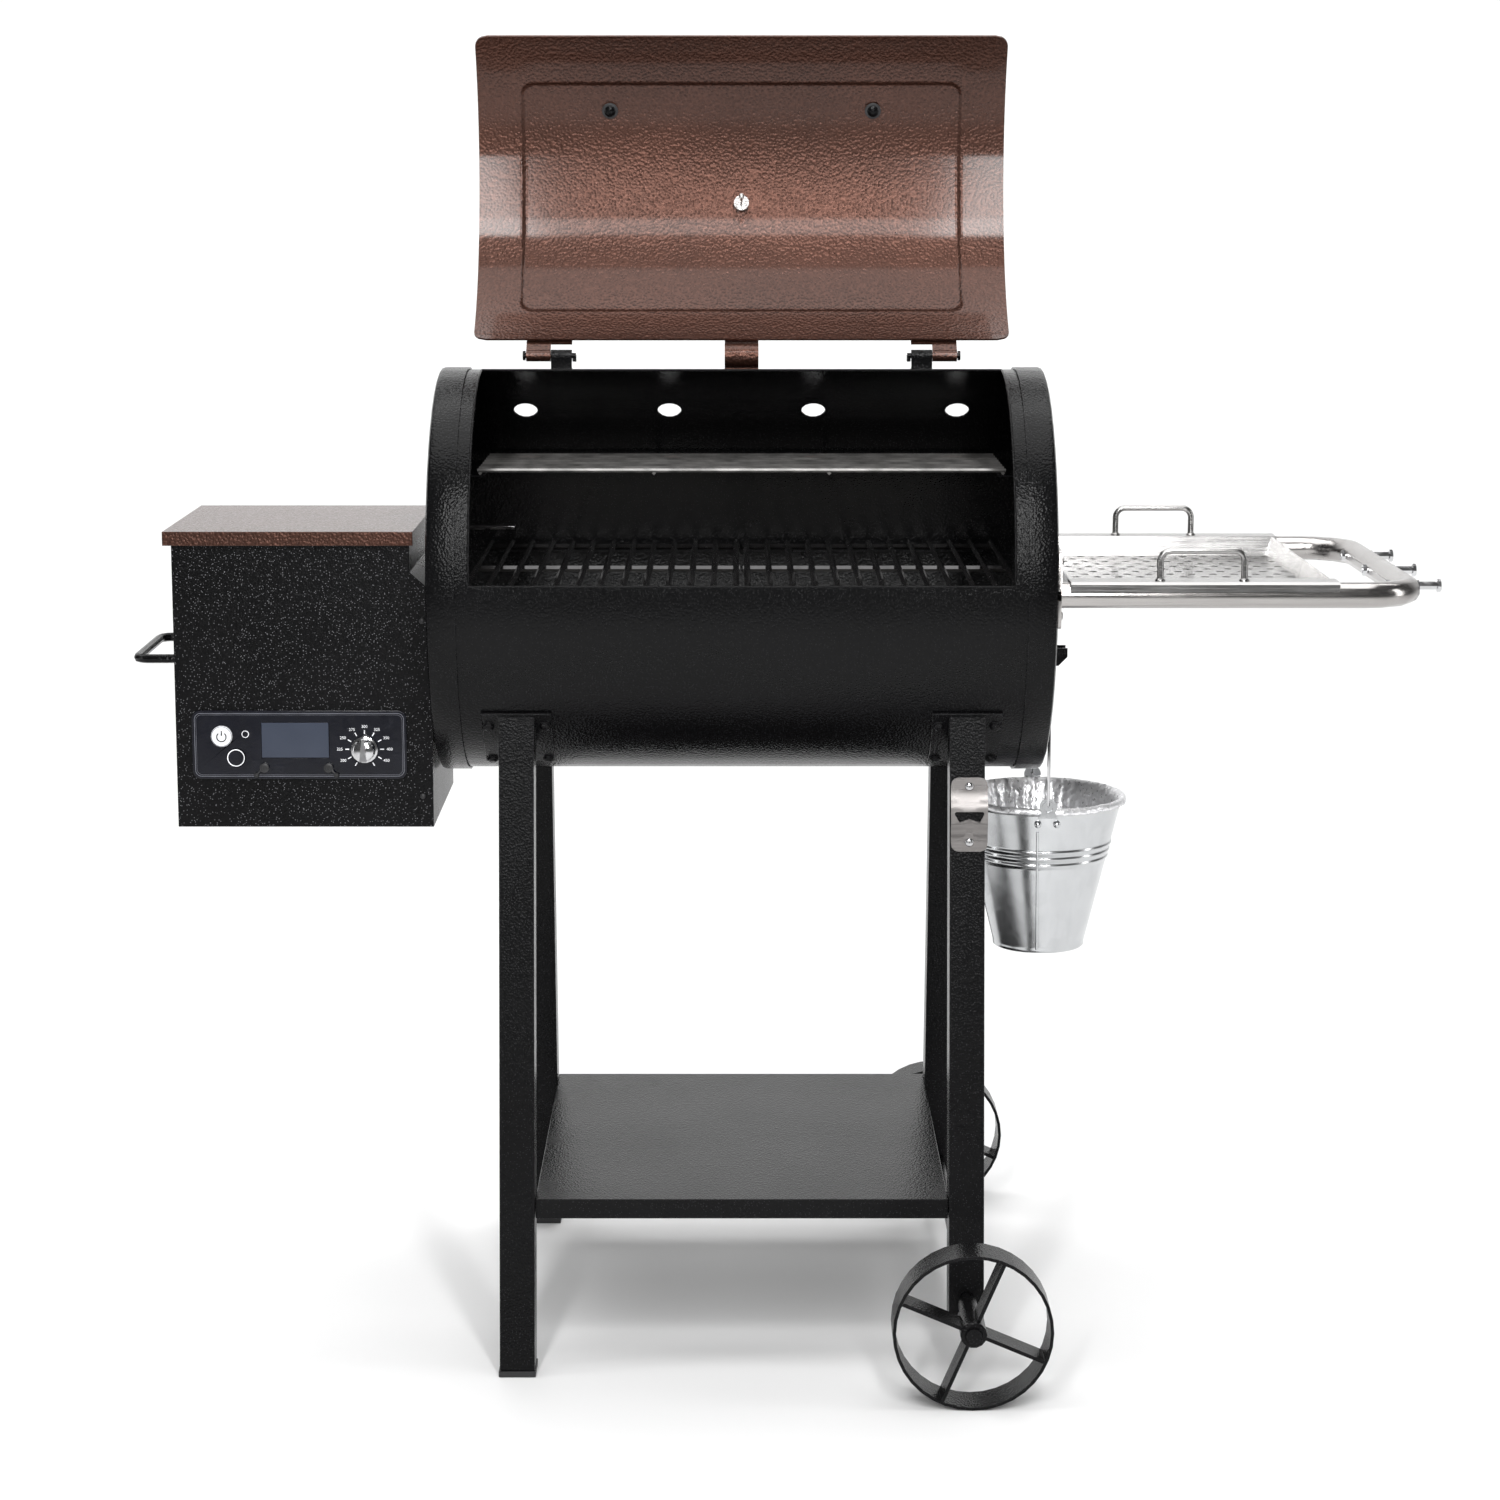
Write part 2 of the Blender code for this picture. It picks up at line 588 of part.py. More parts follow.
def main_grate(side, name):
    inner, outer = 0.0015, GRATE_HALF
    step = (outer - inner - 0.008) / (GRATE_RODS - 1)
    along = [rod((side * (inner + 0.004 + step * k), -GRATE_REACH, GRATE_Z),
                 (side * (inner + 0.004 + step * k), GRATE_REACH, GRATE_Z), ROD_R, 4)
             for k in range(GRATE_RODS)]
    across = [rod((side * inner, y, GRATE_Z - 0.0050), (side * outer, y, GRATE_Z - 0.0050), ROD_R, 4)
              for y in (-0.1835, 0.0, 0.1835)]
    piece(name, enamel, across[0], across[1:] + along)


# ---------------------------------------------------------------- fire: plate, slider, pot, auger, fan
PLATE_LEFT, PLATE_RIGHT = -0.285, 0.290
PLATE_LEFT_Z, PLATE_RIGHT_Z = AXIS - 0.062, AXIS - 0.0800


def plate_height(x):
    return PLATE_LEFT_Z + (PLATE_RIGHT_Z - PLATE_LEFT_Z) * (x - PLATE_LEFT) / (PLATE_RIGHT - PLATE_LEFT)


def valley(x0, x1, reach, lift, thickness):
    """A shallow V of sheet that falls to the right, lift above the drip plate's own surface."""
    rise = 0.10
    rings = []
    for x in (x0, x1):
        z = plate_height(x) + lift
        top = [(x, -reach, z + rise * reach), (x, 0, z), (x, reach, z + rise * reach)]
        rings.append(top + [(x, y, h - thickness) for x, y, h in reversed(top)])
    return loft(rings)


def flame_plates():
    slots = [block(-0.05, 0.05, y - 0.004, y + 0.004, AXIS - 0.10, AXIS - 0.04)
             for y in (-0.050, -0.030, -0.010, 0.010, 0.030, 0.050)]
    piece("flame_plate", raw_steel, valley(PLATE_LEFT, PLATE_RIGHT, 0.186, 0, 0.0015), cut=slots)
    grip = block(0.070, 0.0712, -0.012, 0.012, plate_height(0.07) + 0.0016, plate_height(0.07) + 0.016)
    piece("flame_slider", raw_steel, valley(-0.072, 0.072, 0.066, 0.0018, 0.0012), [grip])


def burn_pot():
    floor, top = AXIS - 0.1935, AXIS - 0.108
    profile = [(0, floor), (POT_R, floor), (POT_R, top), (POT_R - 0.002, top), (POT_R - 0.002, floor + 0.002),
               (0, floor + 0.002)]
    auger_hole = rod((-0.055, 0, AUGER_Z), (-0.020, 0, AUGER_Z), AUGER_TUBE_R + 0.0010, 16)
    igniter_hole = rod((-0.055, 0, AXIS - 0.1862), (-0.030, 0, AXIS - 0.1862), 0.0046, 10)
    piece("burn_pot", raw_steel, turned(profile, (0, 0, 0), (0, 0, 1), 20), cut=[auger_hole, igniter_hole])
    igniter = rod((-0.130, 0, AXIS - 0.1862), (-0.034, 0, AXIS - 0.1862), 0.0038, 10)
    piece("igniter_rod", bright_steel, igniter)


def auger():
    ring = [(AUGER_TUBE_R - 0.0015, AUGER_TUBE_LEFT), (AUGER_TUBE_R, AUGER_TUBE_LEFT),
            (AUGER_TUBE_R, -0.036), (AUGER_TUBE_R - 0.0015, -0.036)]
    inlet = block(-0.485, -0.395, -0.018, 0.018, AUGER_Z, AUGER_Z + 0.04)
    piece("auger_tube", raw_steel, turned(ring, (0, 0, AUGER_Z), (1, 0, 0), 18, closed=True), cut=[inlet])

    left, right = -0.498, -0.052
    turns, sections_per_turn = 7, 9
    lobe = [(0.0225, -10), (0.0225, 10), (0.0065, 28), (0.0062, 120), (0.0062, 240), (0.0065, 332)]
    count = turns * sections_per_turn
    rings = []
    for k in range(count + 1):
        x = left + (right - left) * k / count
        twist = 360 * turns * k / count
        rings.append([(x, r * cos(radians(a + twist)), AUGER_Z + r * sin(radians(a + twist)))
                      for r, a in lobe])
    points, faces = loft(rings)
    points = [(x, y, z - AUGER_Z) for x, y, z in points]
    piece("auger_screw", raw_steel, (points, faces)).location = (0, 0, AUGER_Z)

    gearbox = block(-0.524, -0.5045, -0.034, 0.034, AUGER_Z - 0.034, AUGER_Z + 0.034)
    can = turned([(0, -0.549), (0.024, -0.549), (0.026, -0.546), (0.026, -0.520), (0, -0.520)],
                 (0, 0, AUGER_Z), (1, 0, 0), 14)
    piece("auger_motor", black_plastic, gearbox, [can])


def fan():
    low, high = AXIS - 0.190, AXIS - 0.140
    profile = [(0, high), (FAN_R, high), (FAN_R, low), (0.022, low), (0.022, low + 0.0015),
               (FAN_R - 0.0015, low + 0.0015), (FAN_R - 0.0015, high - 0.0015), (0, high - 0.0015)]
    centre = (FAN_X, FAN_Y, 0)
    duct = block(FAN_X + 0.0335, -0.3055, 0.0435, 0.0765, AXIS - 0.1735, AXIS - 0.1465)
    duct_bore = block(FAN_X + 0.0318, -0.300, 0.045, 0.075, AXIS - 0.172, AXIS - 0.148)
    piece("fan_housing", black_plastic, turned(profile, centre, (0, 0, 1), 20), [duct], [duct_bore])
    blades = 10
    outline = []
    for k in range(blades):
        start = 360 * k / blades
        for radius, shift in ((0.0300, 4), (0.0300, 10), (0.0100, 18), (0.0100, 30)):
            angle = radians(start + shift)
            outline.append((FAN_X + radius * cos(angle), FAN_Y + radius * sin(angle)))
    wheel_shape = prism(outline, AXIS - 0.184, AXIS - 0.146, "Z")
    piece("fan_impeller", raw_steel, wheel_shape, origin=(FAN_X, FAN_Y, 0))


def temperature_probe():
    profile = [(0, -0.2982), (0.008, -0.2982), (0.008, -0.2940), (0.003, -0.2940), (0.003, -0.2350),
               (0, -0.2335)]
    piece("temperature_probe", bright_steel, turned(profile, (0, 0.10, AXIS + 0.030), (1, 0, 0), 12))


# ---------------------------------------------------------------- hopper
def hopper_outline(inset, top):
    return [(HOPPER_LEFT + inset, HOPPER_BOTTOM + inset), (HOPPER_RIGHT - inset, HOPPER_BOTTOM + inset),
            (HOPPER_RIGHT - inset, AXIS - 0.0075 - inset),
            (HOPPER_TOP_RIGHT - inset, AXIS + 0.0105 - inset / 2),
            (HOPPER_TOP_RIGHT - inset, top), (HOPPER_LEFT + inset, top)]


def on_hopper_hinge(low, high, radius, sides):
    return rod((low, HOPPER_HINGE_Y, HOPPER_HINGE_Z), (high, HOPPER_HINGE_Y, HOPPER_HINGE_Z), radius, sides)


def hopper_body():
    shape = prism(hopper_outline(0, HOPPER_TOP), -HOPPER_HALF, HOPPER_HALF, "Y")
    inside = prism(hopper_outline(HOPPER_SHEET, HOPPER_TOP + 0.02), -HOPPER_HALF + HOPPER_SHEET,
                   HOPPER_HALF - HOPPER_SHEET, "Y")
    panel_hole = block(-0.524, -0.344, -0.12, -0.10, AXIS - 0.190, AXIS - 0.130)
    tube_hole = rod((-0.32, 0, AUGER_Z), (-0.29, 0, AUGER_Z), AUGER_TUBE_R + 0.0012, 18)
    gland_hole = rod((-0.530, 0.10, AXIS - 0.200), (-0.530, 0.12, AXIS - 0.200), 0.0068, 12)
    hinges = []
    for low, high, pin_low, pin_high in ((-0.520, -0.500, -0.501, -0.482), (-0.385, -0.365, -0.403, -0.384)):
        hinges.append(block(low, high, HOPPER_HALF - 0.001, 0.1262, AXIS + 0.0300, AXIS + 0.0360))
        hinges.append(block(low, high, 0.1190, 0.1262, AXIS + 0.0320, HOPPER_HINGE_Z))
        hinges.append(on_hopper_hinge(low, high, 0.0040, 12))
        hinges.append(on_hopper_hinge(pin_low, pin_high, 0.0018, 10))
    shell = piece("hopper_body", black_paint, shape,
                  cut=[inside, panel_hole, tube_hole, gland_hole, duct_hole(-0.31, -0.30)])
    combine(shell, "UNION", hinges, black_paint, root, (0, 0, 0))


def hopper_lid():
    shape = block(HOPPER_LID_LEFT, HOPPER_LID_RIGHT, -HOPPER_LID_HALF, HOPPER_LID_HALF, AXIS + 0.0370,
                  HOPPER_LID_TOP)
    s = HOPPER_LID_SHEET
    hollow = block(HOPPER_LID_LEFT + s, HOPPER_LID_RIGHT - s, -HOPPER_LID_HALF + s, HOPPER_LID_HALF - s,
                   AXIS + 0.03, HOPPER_LID_TOP - s)
    knuckles = []
    bores = [hollow]
    for low, high in ((-0.4995, -0.4800), (-0.4050, -0.3855)):
        knuckles.append(on_hopper_hinge(low, high, 0.0040, 12))
        knuckles.append(block(low, high, 0.1172, HOPPER_HINGE_Y, AXIS + 0.0385, AXIS + 0.0425))
        bores.append(on_hopper_hinge(low - 0.005, high + 0.005, 0.0024, 12))
    piece("hopper_lid", bronze_paint, shape, knuckles, bores, origin=(0, HOPPER_HINGE_Y, HOPPER_HINGE_Z))


def hopper_bin():
    """Funnel with an open top and a chute over the auger's inlet."""
    sheet = 0.0012

    def ring(x0, x1, y, z, inset):
        return [(x0 + inset, -y + inset, z), (x1 - inset, -y + inset, z), (x1 - inset, y - inset, z),
                (x0 + inset, y - inset, z)]

    levels = ((-0.5500, -0.3290, 0.1060, AXIS + 0.0345), (-0.5500, -0.3290, 0.1060, AXIS - 0.0200),
              (-0.4870, -0.3930, 0.0195, AXIS - 0.1285))
    outside = [ring(*level, 0) for level in levels]
    inside = [ring(*level, sheet) for level in reversed(levels)]
    piece("hopper_bin", raw_steel, ring_shell(outside + inside))


def hopper_grille():
    x0, x1, y1 = -0.5460, -0.3330, 0.1020
    z0, z1 = AXIS - 0.0180, AXIS - 0.0140
    edge = 0.004
    frame = [block(x0, x1, -y1, -y1 + edge, z0, z1), block(x0, x1, y1 - edge, y1, z0, z1),
             block(x1 - edge, x1, -y1, y1, z0, z1)]
    bars = 7
    bar_xs = [x0 + (x1 - x0) * (k + 1) / (bars + 1) for k in range(bars)]
    frame += [block(x - 0.0015, x + 0.0015, -y1 + 0.001, y1 - 0.001, z0 + 0.0005, z1 - 0.0005)
              for x in bar_xs]
    piece("hopper_grille", bright_steel, block(x0, x0 + edge, -y1, y1, z0, z1), frame)


def hopper_handle():
    z = AXIS - 0.081
    left, start, reach = OUTER_LEFT + 0.0045, HOPPER_LEFT - 0.0015, 0.0725
    corners = [(start, -reach, z), (left, -reach, z), (left, reach, z), (start, reach, z)]
    flanges = [rod((HOPPER_LEFT - GAP, side * reach, z), (HOPPER_LEFT - 0.0032, side * reach, z), 0.0095, 12)
               for side in (-1, 1)]
    piece("hopper_handle", black_paint, bar(rounded(corners, 0.012, 3), 0.0045, 8), flanges)


def cord_gland():
    ring = [(0.0035, 0.1050), (0.0060, 0.1050), (0.0060, 0.1124), (0.0100, 0.1124), (0.0100, 0.1150),
            (0.0070, 0.1200), (0.0035, 0.1200)]
    piece("cord_gland", black_plastic, turned(ring, (-0.530, 0, AXIS - 0.200), (0, 1, 0), 12, closed=True))


# ---------------------------------------------------------------- controls
def facing(profile, x, z, segments=20):
    """A turned shape whose line runs front to back; distances are Y positions."""
    return turned(profile, (x, 0, z), (0, 1, 0), segments)


def control_panel():
    outline = rounded_rectangle(PANEL_LEFT, PANEL_RIGHT, PANEL_BOTTOM, PANEL_TOP, 0.008)
    plate = prism(outline, PANEL_FRONT, PANEL_BACK, "Y")
    case = block(-0.522, -0.346, PANEL_BACK - 0.0005, -0.084, AXIS - 0.188, AXIS - 0.132)
    lamp = facing([(0, PANEL_FRONT - 0.0008), (0.0028, PANEL_FRONT - 0.0008), (0.0033, PANEL_FRONT + 0.001),
                   (0, PANEL_FRONT + 0.001)], LAMP_X, LAMP_Z, 12)
    jacks = [facing([(0, PANEL_FRONT - 0.0028), (0.0040, PANEL_FRONT - 0.0028), (0.0050, PANEL_FRONT + 0.001),
                     (0, PANEL_FRONT + 0.001)], x, JACK_Z, 14) for x in JACK_XS]
    x0, x1, z0, z1 = DISPLAY
    pockets = [rod((POWER_X, -0.13, POWER_Z), (POWER_X, -0.1065, POWER_Z), POWER_R + 0.0005, 18),
               rod((PRIME_X, -0.13, PRIME_Z), (PRIME_X, -0.1065, PRIME_Z), PRIME_R + 0.0005, 18),
               rod((DIAL_X, -0.13, DIAL_Z), (DIAL_X, -0.1020, DIAL_Z), 0.0040, 14),
               block(x0, x1, -0.13, PANEL_FRONT + 0.0014, z0, z1)]
    pockets += [rod((x, -0.13, JACK_Z), (x, -0.1100, JACK_Z), 0.0018, 10) for x in JACK_XS]
    piece("control_panel", panel_blue, plate, [case, lamp] + jacks, pockets)


def controls():
    for name, material, x, z, radius in (("power_button", white_plastic, POWER_X, POWER_Z, POWER_R),
                                         ("prime_button", panel_blue, PRIME_X, PRIME_Z, PRIME_R)):
        profile = [(0, -0.1174), (radius - 0.001, -0.1174), (radius, -0.1166), (radius, -0.1090),
                   (0, -0.1090)]
        piece(name, material, facing(profile, x, z, 18))
    inset = 0.0004
    x0, x1, z0, z1 = DISPLAY
    piece("display_window", display_grey, block(x0 + inset, x1 - inset, PANEL_FRONT - 0.0004,
                                                PANEL_FRONT + 0.0010, z0 + inset, z1 - inset))
    knob = [(0, -0.1310), (0.0080, -0.1310), (0.0100, -0.1295), (0.0112, -0.1200), (DIAL_R, -0.1190),
            (DIAL_R, -0.1163), (0.0035, -0.1163), (0.0035, -0.1060), (0, -0.1060)]
    grip_outline = [(-0.0035, -0.0095), (0.0035, -0.0095), (0.0012, 0.0118), (-0.0012, 0.0118)]
    grip = prism([(DIAL_X + a, DIAL_Z + b) for a, b in grip_outline], -0.1340, -0.1280, "Y")
    piece("control_dial", bright_steel, facing(knob, DIAL_X, DIAL_Z, 18), [grip], origin=(DIAL_X, 0, DIAL_Z))


# ---------------------------------------------------------------- legs, shelf, wheels
def leg_front_y(z):
    """Distance of a leg's outer face from the middle plane."""
    return LEG_FOOT_Y - LEG_SLOPE * z


def leg_bar(x, side, z0, z1, inset):
    rings = []
    for z in (z0, z1):
        outer = leg_front_y(z) - inset
        inner = leg_front_y(z) - LEG_SIZE * 1.009 + inset
        half = LEG_SIZE / 2 - inset
        rings.append([(x - half, side * outer, z), (x + half, side * outer, z), (x + half, side * inner, z),
                      (x - half, side * inner, z)])
    return loft(rings)


def turned_angle(angle, side):
    """The same place round the barrel on the front (side -1) or the back (side 1)."""
    return angle if side < 0 else 180 - angle


def leg(name, x, side, end):
    low, high = LEG_PLATE_ANGLES
    plate_half = 0.034
    rows = [(turned_angle(low + (high - low) * k / 4, side), [x - plate_half, x + plate_half])
            for k in range(5)]
    if side > 0:
        rows.reverse()
    plate = curved_sheet("plate", rows, BARREL_R + GAP, 0.0026)
    bolts = []
    for angle in LEG_BOLT_ANGLES:
        for shift in (-0.0272, 0.0272):
            head = [(0, 0.2020), (0.0055, 0.2020), (0.0055, 0.2052), (0.0030, 0.2070), (0, 0.2070)]
            bolts.append(turned(head, (x + shift, 0, AXIS), outward(turned_angle(angle, side)), 6))
    barrel_room = rod((x - 0.05, 0, AXIS), (x + 0.05, 0, AXIS), BARREL_R + GAP + 0.0014, 60)
    cavity = leg_bar(x, side, end - 0.02, 0.585, LEG_SHEET)
    cuts = [barrel_room, cavity]
    if x > 0:
        cuts.append(rod((LEG_X, side * 0.18, WHEEL_R), (LEG_X, side * 0.27, WHEEL_R), AXLE_R + 0.0006, 10))
    tube = piece(name, black_paint, leg_bar(x, side, end, 0.660, 0), cut=cuts)
    combine(tube, "UNION", [plate] + bolts, black_paint, root, (0, 0, 0))


def foot_cap(name, side):
    half = LEG_SIZE / 2 + 0.001
    outer = leg_front_y(0) + 0.001
    inner = leg_front_y(0) - LEG_SIZE - 0.0015
    sole = block(-LEG_X - half, -LEG_X + half, *sorted((side * outer, side * inner)), 0, LEG_LEFT_END - GAP)
    plug = leg_bar(-LEG_X, side, 0.004, 0.022, LEG_SHEET + 0.0006)
    piece(name, black_plastic, sole, [plug])


def bottom_shelf():
    sheet = 0.0015
    shape = block(-SHELF_HALF_X, SHELF_HALF_X, -SHELF_HALF_Y, SHELF_HALF_Y,
                  SHELF_TOP - SHELF_FLANGE, SHELF_TOP)
    hollow = block(-SHELF_HALF_X + sheet, SHELF_HALF_X - sheet, -SHELF_HALF_Y + sheet, SHELF_HALF_Y - sheet,
                   SHELF_TOP - SHELF_FLANGE - 0.01, SHELF_TOP - sheet)
    piece("bottom_shelf", black_paint, shape, cut=[hollow])


def wheel(name, side):
    centre = (LEG_X, 0, WHEEL_R)
    near, far = WHEEL_FACE_Y - WHEEL_WIDTH, WHEEL_FACE_Y
    rim = turned([(WHEEL_R - 0.0032, near), (WHEEL_R, near), (WHEEL_R, far), (WHEEL_R - 0.0032, far)],
                 (0, 0, 0), (0, side, 0), 36, closed=True)
    hub = turned([(0.0066, near - 0.003), (0.0128, near - 0.003), (0.0128, far + 0.0035),
                  (0.0110, far + 0.0045), (0.0066, far + 0.0045)],
                 (0, 0, 0), (0, side, 0), 14, closed=True)
    section = ((-1, near + 0.009), (1, near + 0.009), (1, far - 0.0006), (-1, far - 0.0006))
    spokes = []
    for k in range(4):
        angle = radians(67 + 90 * k)
        along = Vector((cos(angle), 0, sin(angle)))
        across = Vector((-sin(angle), 0, cos(angle))) * 0.0018
        rings = []
        for reach in (0.0105, WHEEL_R - 0.0016):
            mid = along * reach
            rings.append([tuple(mid + s * across + Vector((0, side * y, 0))) for s, y in section])
        spokes.append(loft(rings))
    bore = rod((0, side * 0.25, 0), (0, side * 0.36, 0), 0.0066, 14)
    shapes = [rim, hub, bore] + spokes
    moved = [([tuple(Vector(p) + Vector(centre)) for p in points], faces) for points, faces in shapes]
    piece(name, black_paint, moved[0], [moved[1]] + moved[3:], [moved[2]], origin=(LEG_X, 0, WHEEL_R))


def wheel_axle():
    end = WHEEL_FACE_Y + 0.0050
    shaft = [(0, -end - 0.0042), (0.0075, -end - 0.0034), (0.0088, -end), (AXLE_R, -end), (AXLE_R, end),
             (0.0088, end), (0.0075, end + 0.0034), (0, end + 0.0042)]
    spacers = []
    for side in (-1, 1):
        spacers.append(rod((LEG_X, side * 0.2520, WHEEL_R), (LEG_X, side * 0.2872, WHEEL_R), 0.0095, 12))
    piece("wheel_axle", raw_steel, turned(shaft, (LEG_X, 0, WHEEL_R), (0, 1, 0), 12), spacers)


def bottle_opener():
    """Plate screwed to the front right leg, bowed out round the mouth that catches the cap."""
    def front(z, lift):
        return (-leg_front_y(z) - 0.0016 - lift, z)

    line = [front(0.5780, 0), front(0.5570, 0), front(0.5510, 0.007), front(0.5310, 0.007), front(0.5250, 0),
            front(0.5070, 0)]
    middle = LEG_X + 0.0018
    shape = prism(strip(line, 0.0020), middle - 0.0178, middle + 0.0178, "X")
    mouth = block(middle - 0.0140, middle + 0.0140, -0.20, -0.16, 0.5346, 0.5458)
    screws = [rod((middle, front(z, 0)[0], z), (middle, front(z, 0)[0] - 0.0032, z), 0.0040, 12)
              for z in (0.5700, 0.5160)]
    piece("bottle_opener", stainless, shape, screws, [mouth])


# ---------------------------------------------------------------- side shelf
def shelf_frame():
    start = CAP_FACE + 0.0030
    corners = [(start, -FRAME_HALF, FRAME_Z), (FRAME_END, -FRAME_HALF, FRAME_Z),
               (FRAME_END, FRAME_HALF, FRAME_Z), (start, FRAME_HALF, FRAME_Z)]
    bore_corners = [(x - (0.02 if x == start else 0), y, z) for x, y, z in corners]
    screw_head = [(0, 0.3030), (0.0052, 0.3030), (0.0052, 0.3055), (0.0030, 0.3072), (0, 0.3075)]
    plates = []
    for side in (-1, 1):
        ys = sorted((side * 0.194, side * 0.150))
        outline = rounded_rectangle(*ys, AXIS - 0.034, AXIS + 0.042, 0.006, 3)
        plates.append(prism(outline, CAP_FACE + GAP, CAP_FACE + 0.0034, "X"))
        for y, z in ((0.172, 0.0280), (0.172, -0.0240)):
            plates.append(turned(screw_head, (0, side * y, AXIS + z), (1, 0, 0), 6))
    peg_holes = [rod((0.62, k * PEG_STEP, FRAME_Z), (0.67, k * PEG_STEP, FRAME_Z), 0.0035, 8)
                 for k in (-1, 0, 1)]
    bore = bar(rounded(bore_corners, FRAME_BEND, 4), FRAME_R - 0.0016, 8)
    tube = bar(rounded(corners, FRAME_BEND, 4), FRAME_R, 12)
    piece("shelf_frame", stainless, tube, plates, [bore] + peg_holes)


def tool_pegs():
    inside, outside = FRAME_END - FRAME_R, FRAME_END + FRAME_R
    profile = [(0, inside - 0.0055), (0.0030, inside - 0.0050), (0.0030, inside - 0.0044),
               (0.0058, inside - 0.0044), (0.0058, inside - 0.0006), (0.0030, inside - 0.0006),
               (0.0030, outside + 0.0006),
               (0.0055, outside + 0.0006), (0.0055, outside + 0.0030), (0.0040, outside + 0.0036),
               (0.0040, OUTER_RIGHT - 0.0045), (0.0065, OUTER_RIGHT - 0.0035), (0.0065, OUTER_RIGHT - 0.0006),
               (0.0055, OUTER_RIGHT), (0, OUTER_RIGHT)]
    for k, word in ((-1, "front"), (0, "middle"), (1, "rear")):
        piece(f"tool_peg_{word}", bright_steel, turned(profile, (0, k * PEG_STEP, FRAME_Z), (1, 0, 0), 8))


def serving_tray():
    sheet = 0.0010
    lip, wall, foot = 0.1992, 0.1700, 0.1640
    line = [(-lip, AXIS + 0.0020), (-lip, TRAY_RIM_Z), (-wall, TRAY_RIM_Z), (-foot, TRAY_FLOOR_Z),
            (foot, TRAY_FLOOR_Z), (wall, TRAY_RIM_Z), (lip, TRAY_RIM_Z), (lip, AXIS + 0.0020)]
    shape = prism(strip(line, sheet), TRAY_LEFT, TRAY_RIGHT, "X")
    floor_z, rim_z = TRAY_FLOOR_Z - 0.0002, TRAY_RIM_Z + 0.0002
    slopes = [strip([(TRAY_RIGHT - 0.0090, floor_z), (TRAY_RIGHT - 0.0045, rim_z)], sheet),
              strip([(TRAY_LEFT + 0.0080, floor_z), (TRAY_LEFT + 0.0008, rim_z)], sheet)]
    ends = [prism(slope, -wall + 0.0005, wall - 0.0005, "Y") for slope in slopes]
    handles = []
    for side in (-1, 1):
        y = side * 0.185
        corners = [(0.398, y, TRAY_RIM_Z - 0.0002), (0.398, y, TRAY_RIM_Z + 0.029),
                   (0.478, y, TRAY_RIM_Z + 0.029), (0.478, y, TRAY_RIM_Z - 0.0002)]
        handles.append(bar(rounded(corners, 0.012, 3), 0.0032, 6))
    piece("serving_tray", stainless, shape, ends + handles)


# ---------------------------------------------------------------- grease spout and bucket
def grease_spout():
    low = SPOUT_TOP_Z - 0.018
    flange = block(CAP_FACE + GAP, CAP_FACE + 0.0018, -0.020, 0.020, low - 0.008, SPOUT_TOP_Z + 0.012)
    trough = prism([(0.3015, low), (0.3200, low), (0.3290, low + 0.009), (0.3290, SPOUT_TOP_Z),
                    (0.3015, SPOUT_TOP_Z)], -0.011, 0.011, "Y")
    channel = prism([(0.295, low + 0.0015), (0.3194, low + 0.0015), (0.3369, low + 0.019),
                     (0.295, low + 0.019)], -0.0095, 0.0095, "Y")
    piece("grease_spout", black_paint, flange, [trough], [channel])


def bucket():
    top, foot, wall = BUCKET_RIM_Z, BUCKET_FOOT_Z, 0.0010
    profile = [(0, foot), (BUCKET_FOOT_R, foot), (BUCKET_RIM_R, top - 0.002),
               (BUCKET_RIM_R + 0.0015, top - 0.001), (BUCKET_RIM_R + 0.0015, top + 0.001),
               (BUCKET_RIM_R - 0.001, top + 0.001),
               (BUCKET_FOOT_R - wall, foot + wall), (0, foot + wall)]
    centre = (BUCKET_X, 0, 0)
    ear = rounded_rectangle(BUCKET_X - 0.010, BUCKET_X + 0.010, EAR_Z - 0.020, EAR_Z + 0.007, 0.006, 3)
    ears = []
    holes = []
    for side in (-1, 1):
        ears.append(prism(ear, *sorted((side * 0.0820, side * 0.0848)), "Y"))
        holes.append(rod((BUCKET_X, side * 0.07, EAR_Z), (BUCKET_X, side * 0.10, EAR_Z), 0.0023, 10))
    piece("grease_bucket", galvanised, turned(profile, centre, (0, 0, 1), 28), ears, holes,
          origin=(BUCKET_X, 0, EAR_Z))

    liner = [(0, foot + 0.0020), (BUCKET_FOOT_R - 0.0028, foot + 0.0020),
             (BUCKET_RIM_R - 0.0030, top - 0.0015), (BUCKET_RIM_R - 0.0042, top - 0.0015),
             (BUCKET_FOOT_R - 0.0040, foot + 0.0032), (0, foot + 0.0032)]
    piece("foil_liner", foil, turned(liner, centre, (0, 0, 1), 28), origin=(BUCKET_X, 0, EAR_Z))

    side_top = AXIS - 0.170
    arch = [(BUCKET_X, -BAIL_HALF * cos(radians(a)), side_top + (BAIL_TOP_Z - side_top) * sin(radians(a)))
            for a in range(0, 181, 15)]
    hook = [(BUCKET_X, 0.0805, EAR_Z), (BUCKET_X, 0.0862, EAR_Z), (BUCKET_X, BAIL_HALF, EAR_Z + 0.0025)]
    path = [(x, -y, z) for x, y, z in hook] + arch + hook[::-1]
    piece("bucket_bail", bright_steel, bar(path, 0.0016, 6), origin=(BUCKET_X, 0, BAIL_TOP_Z))


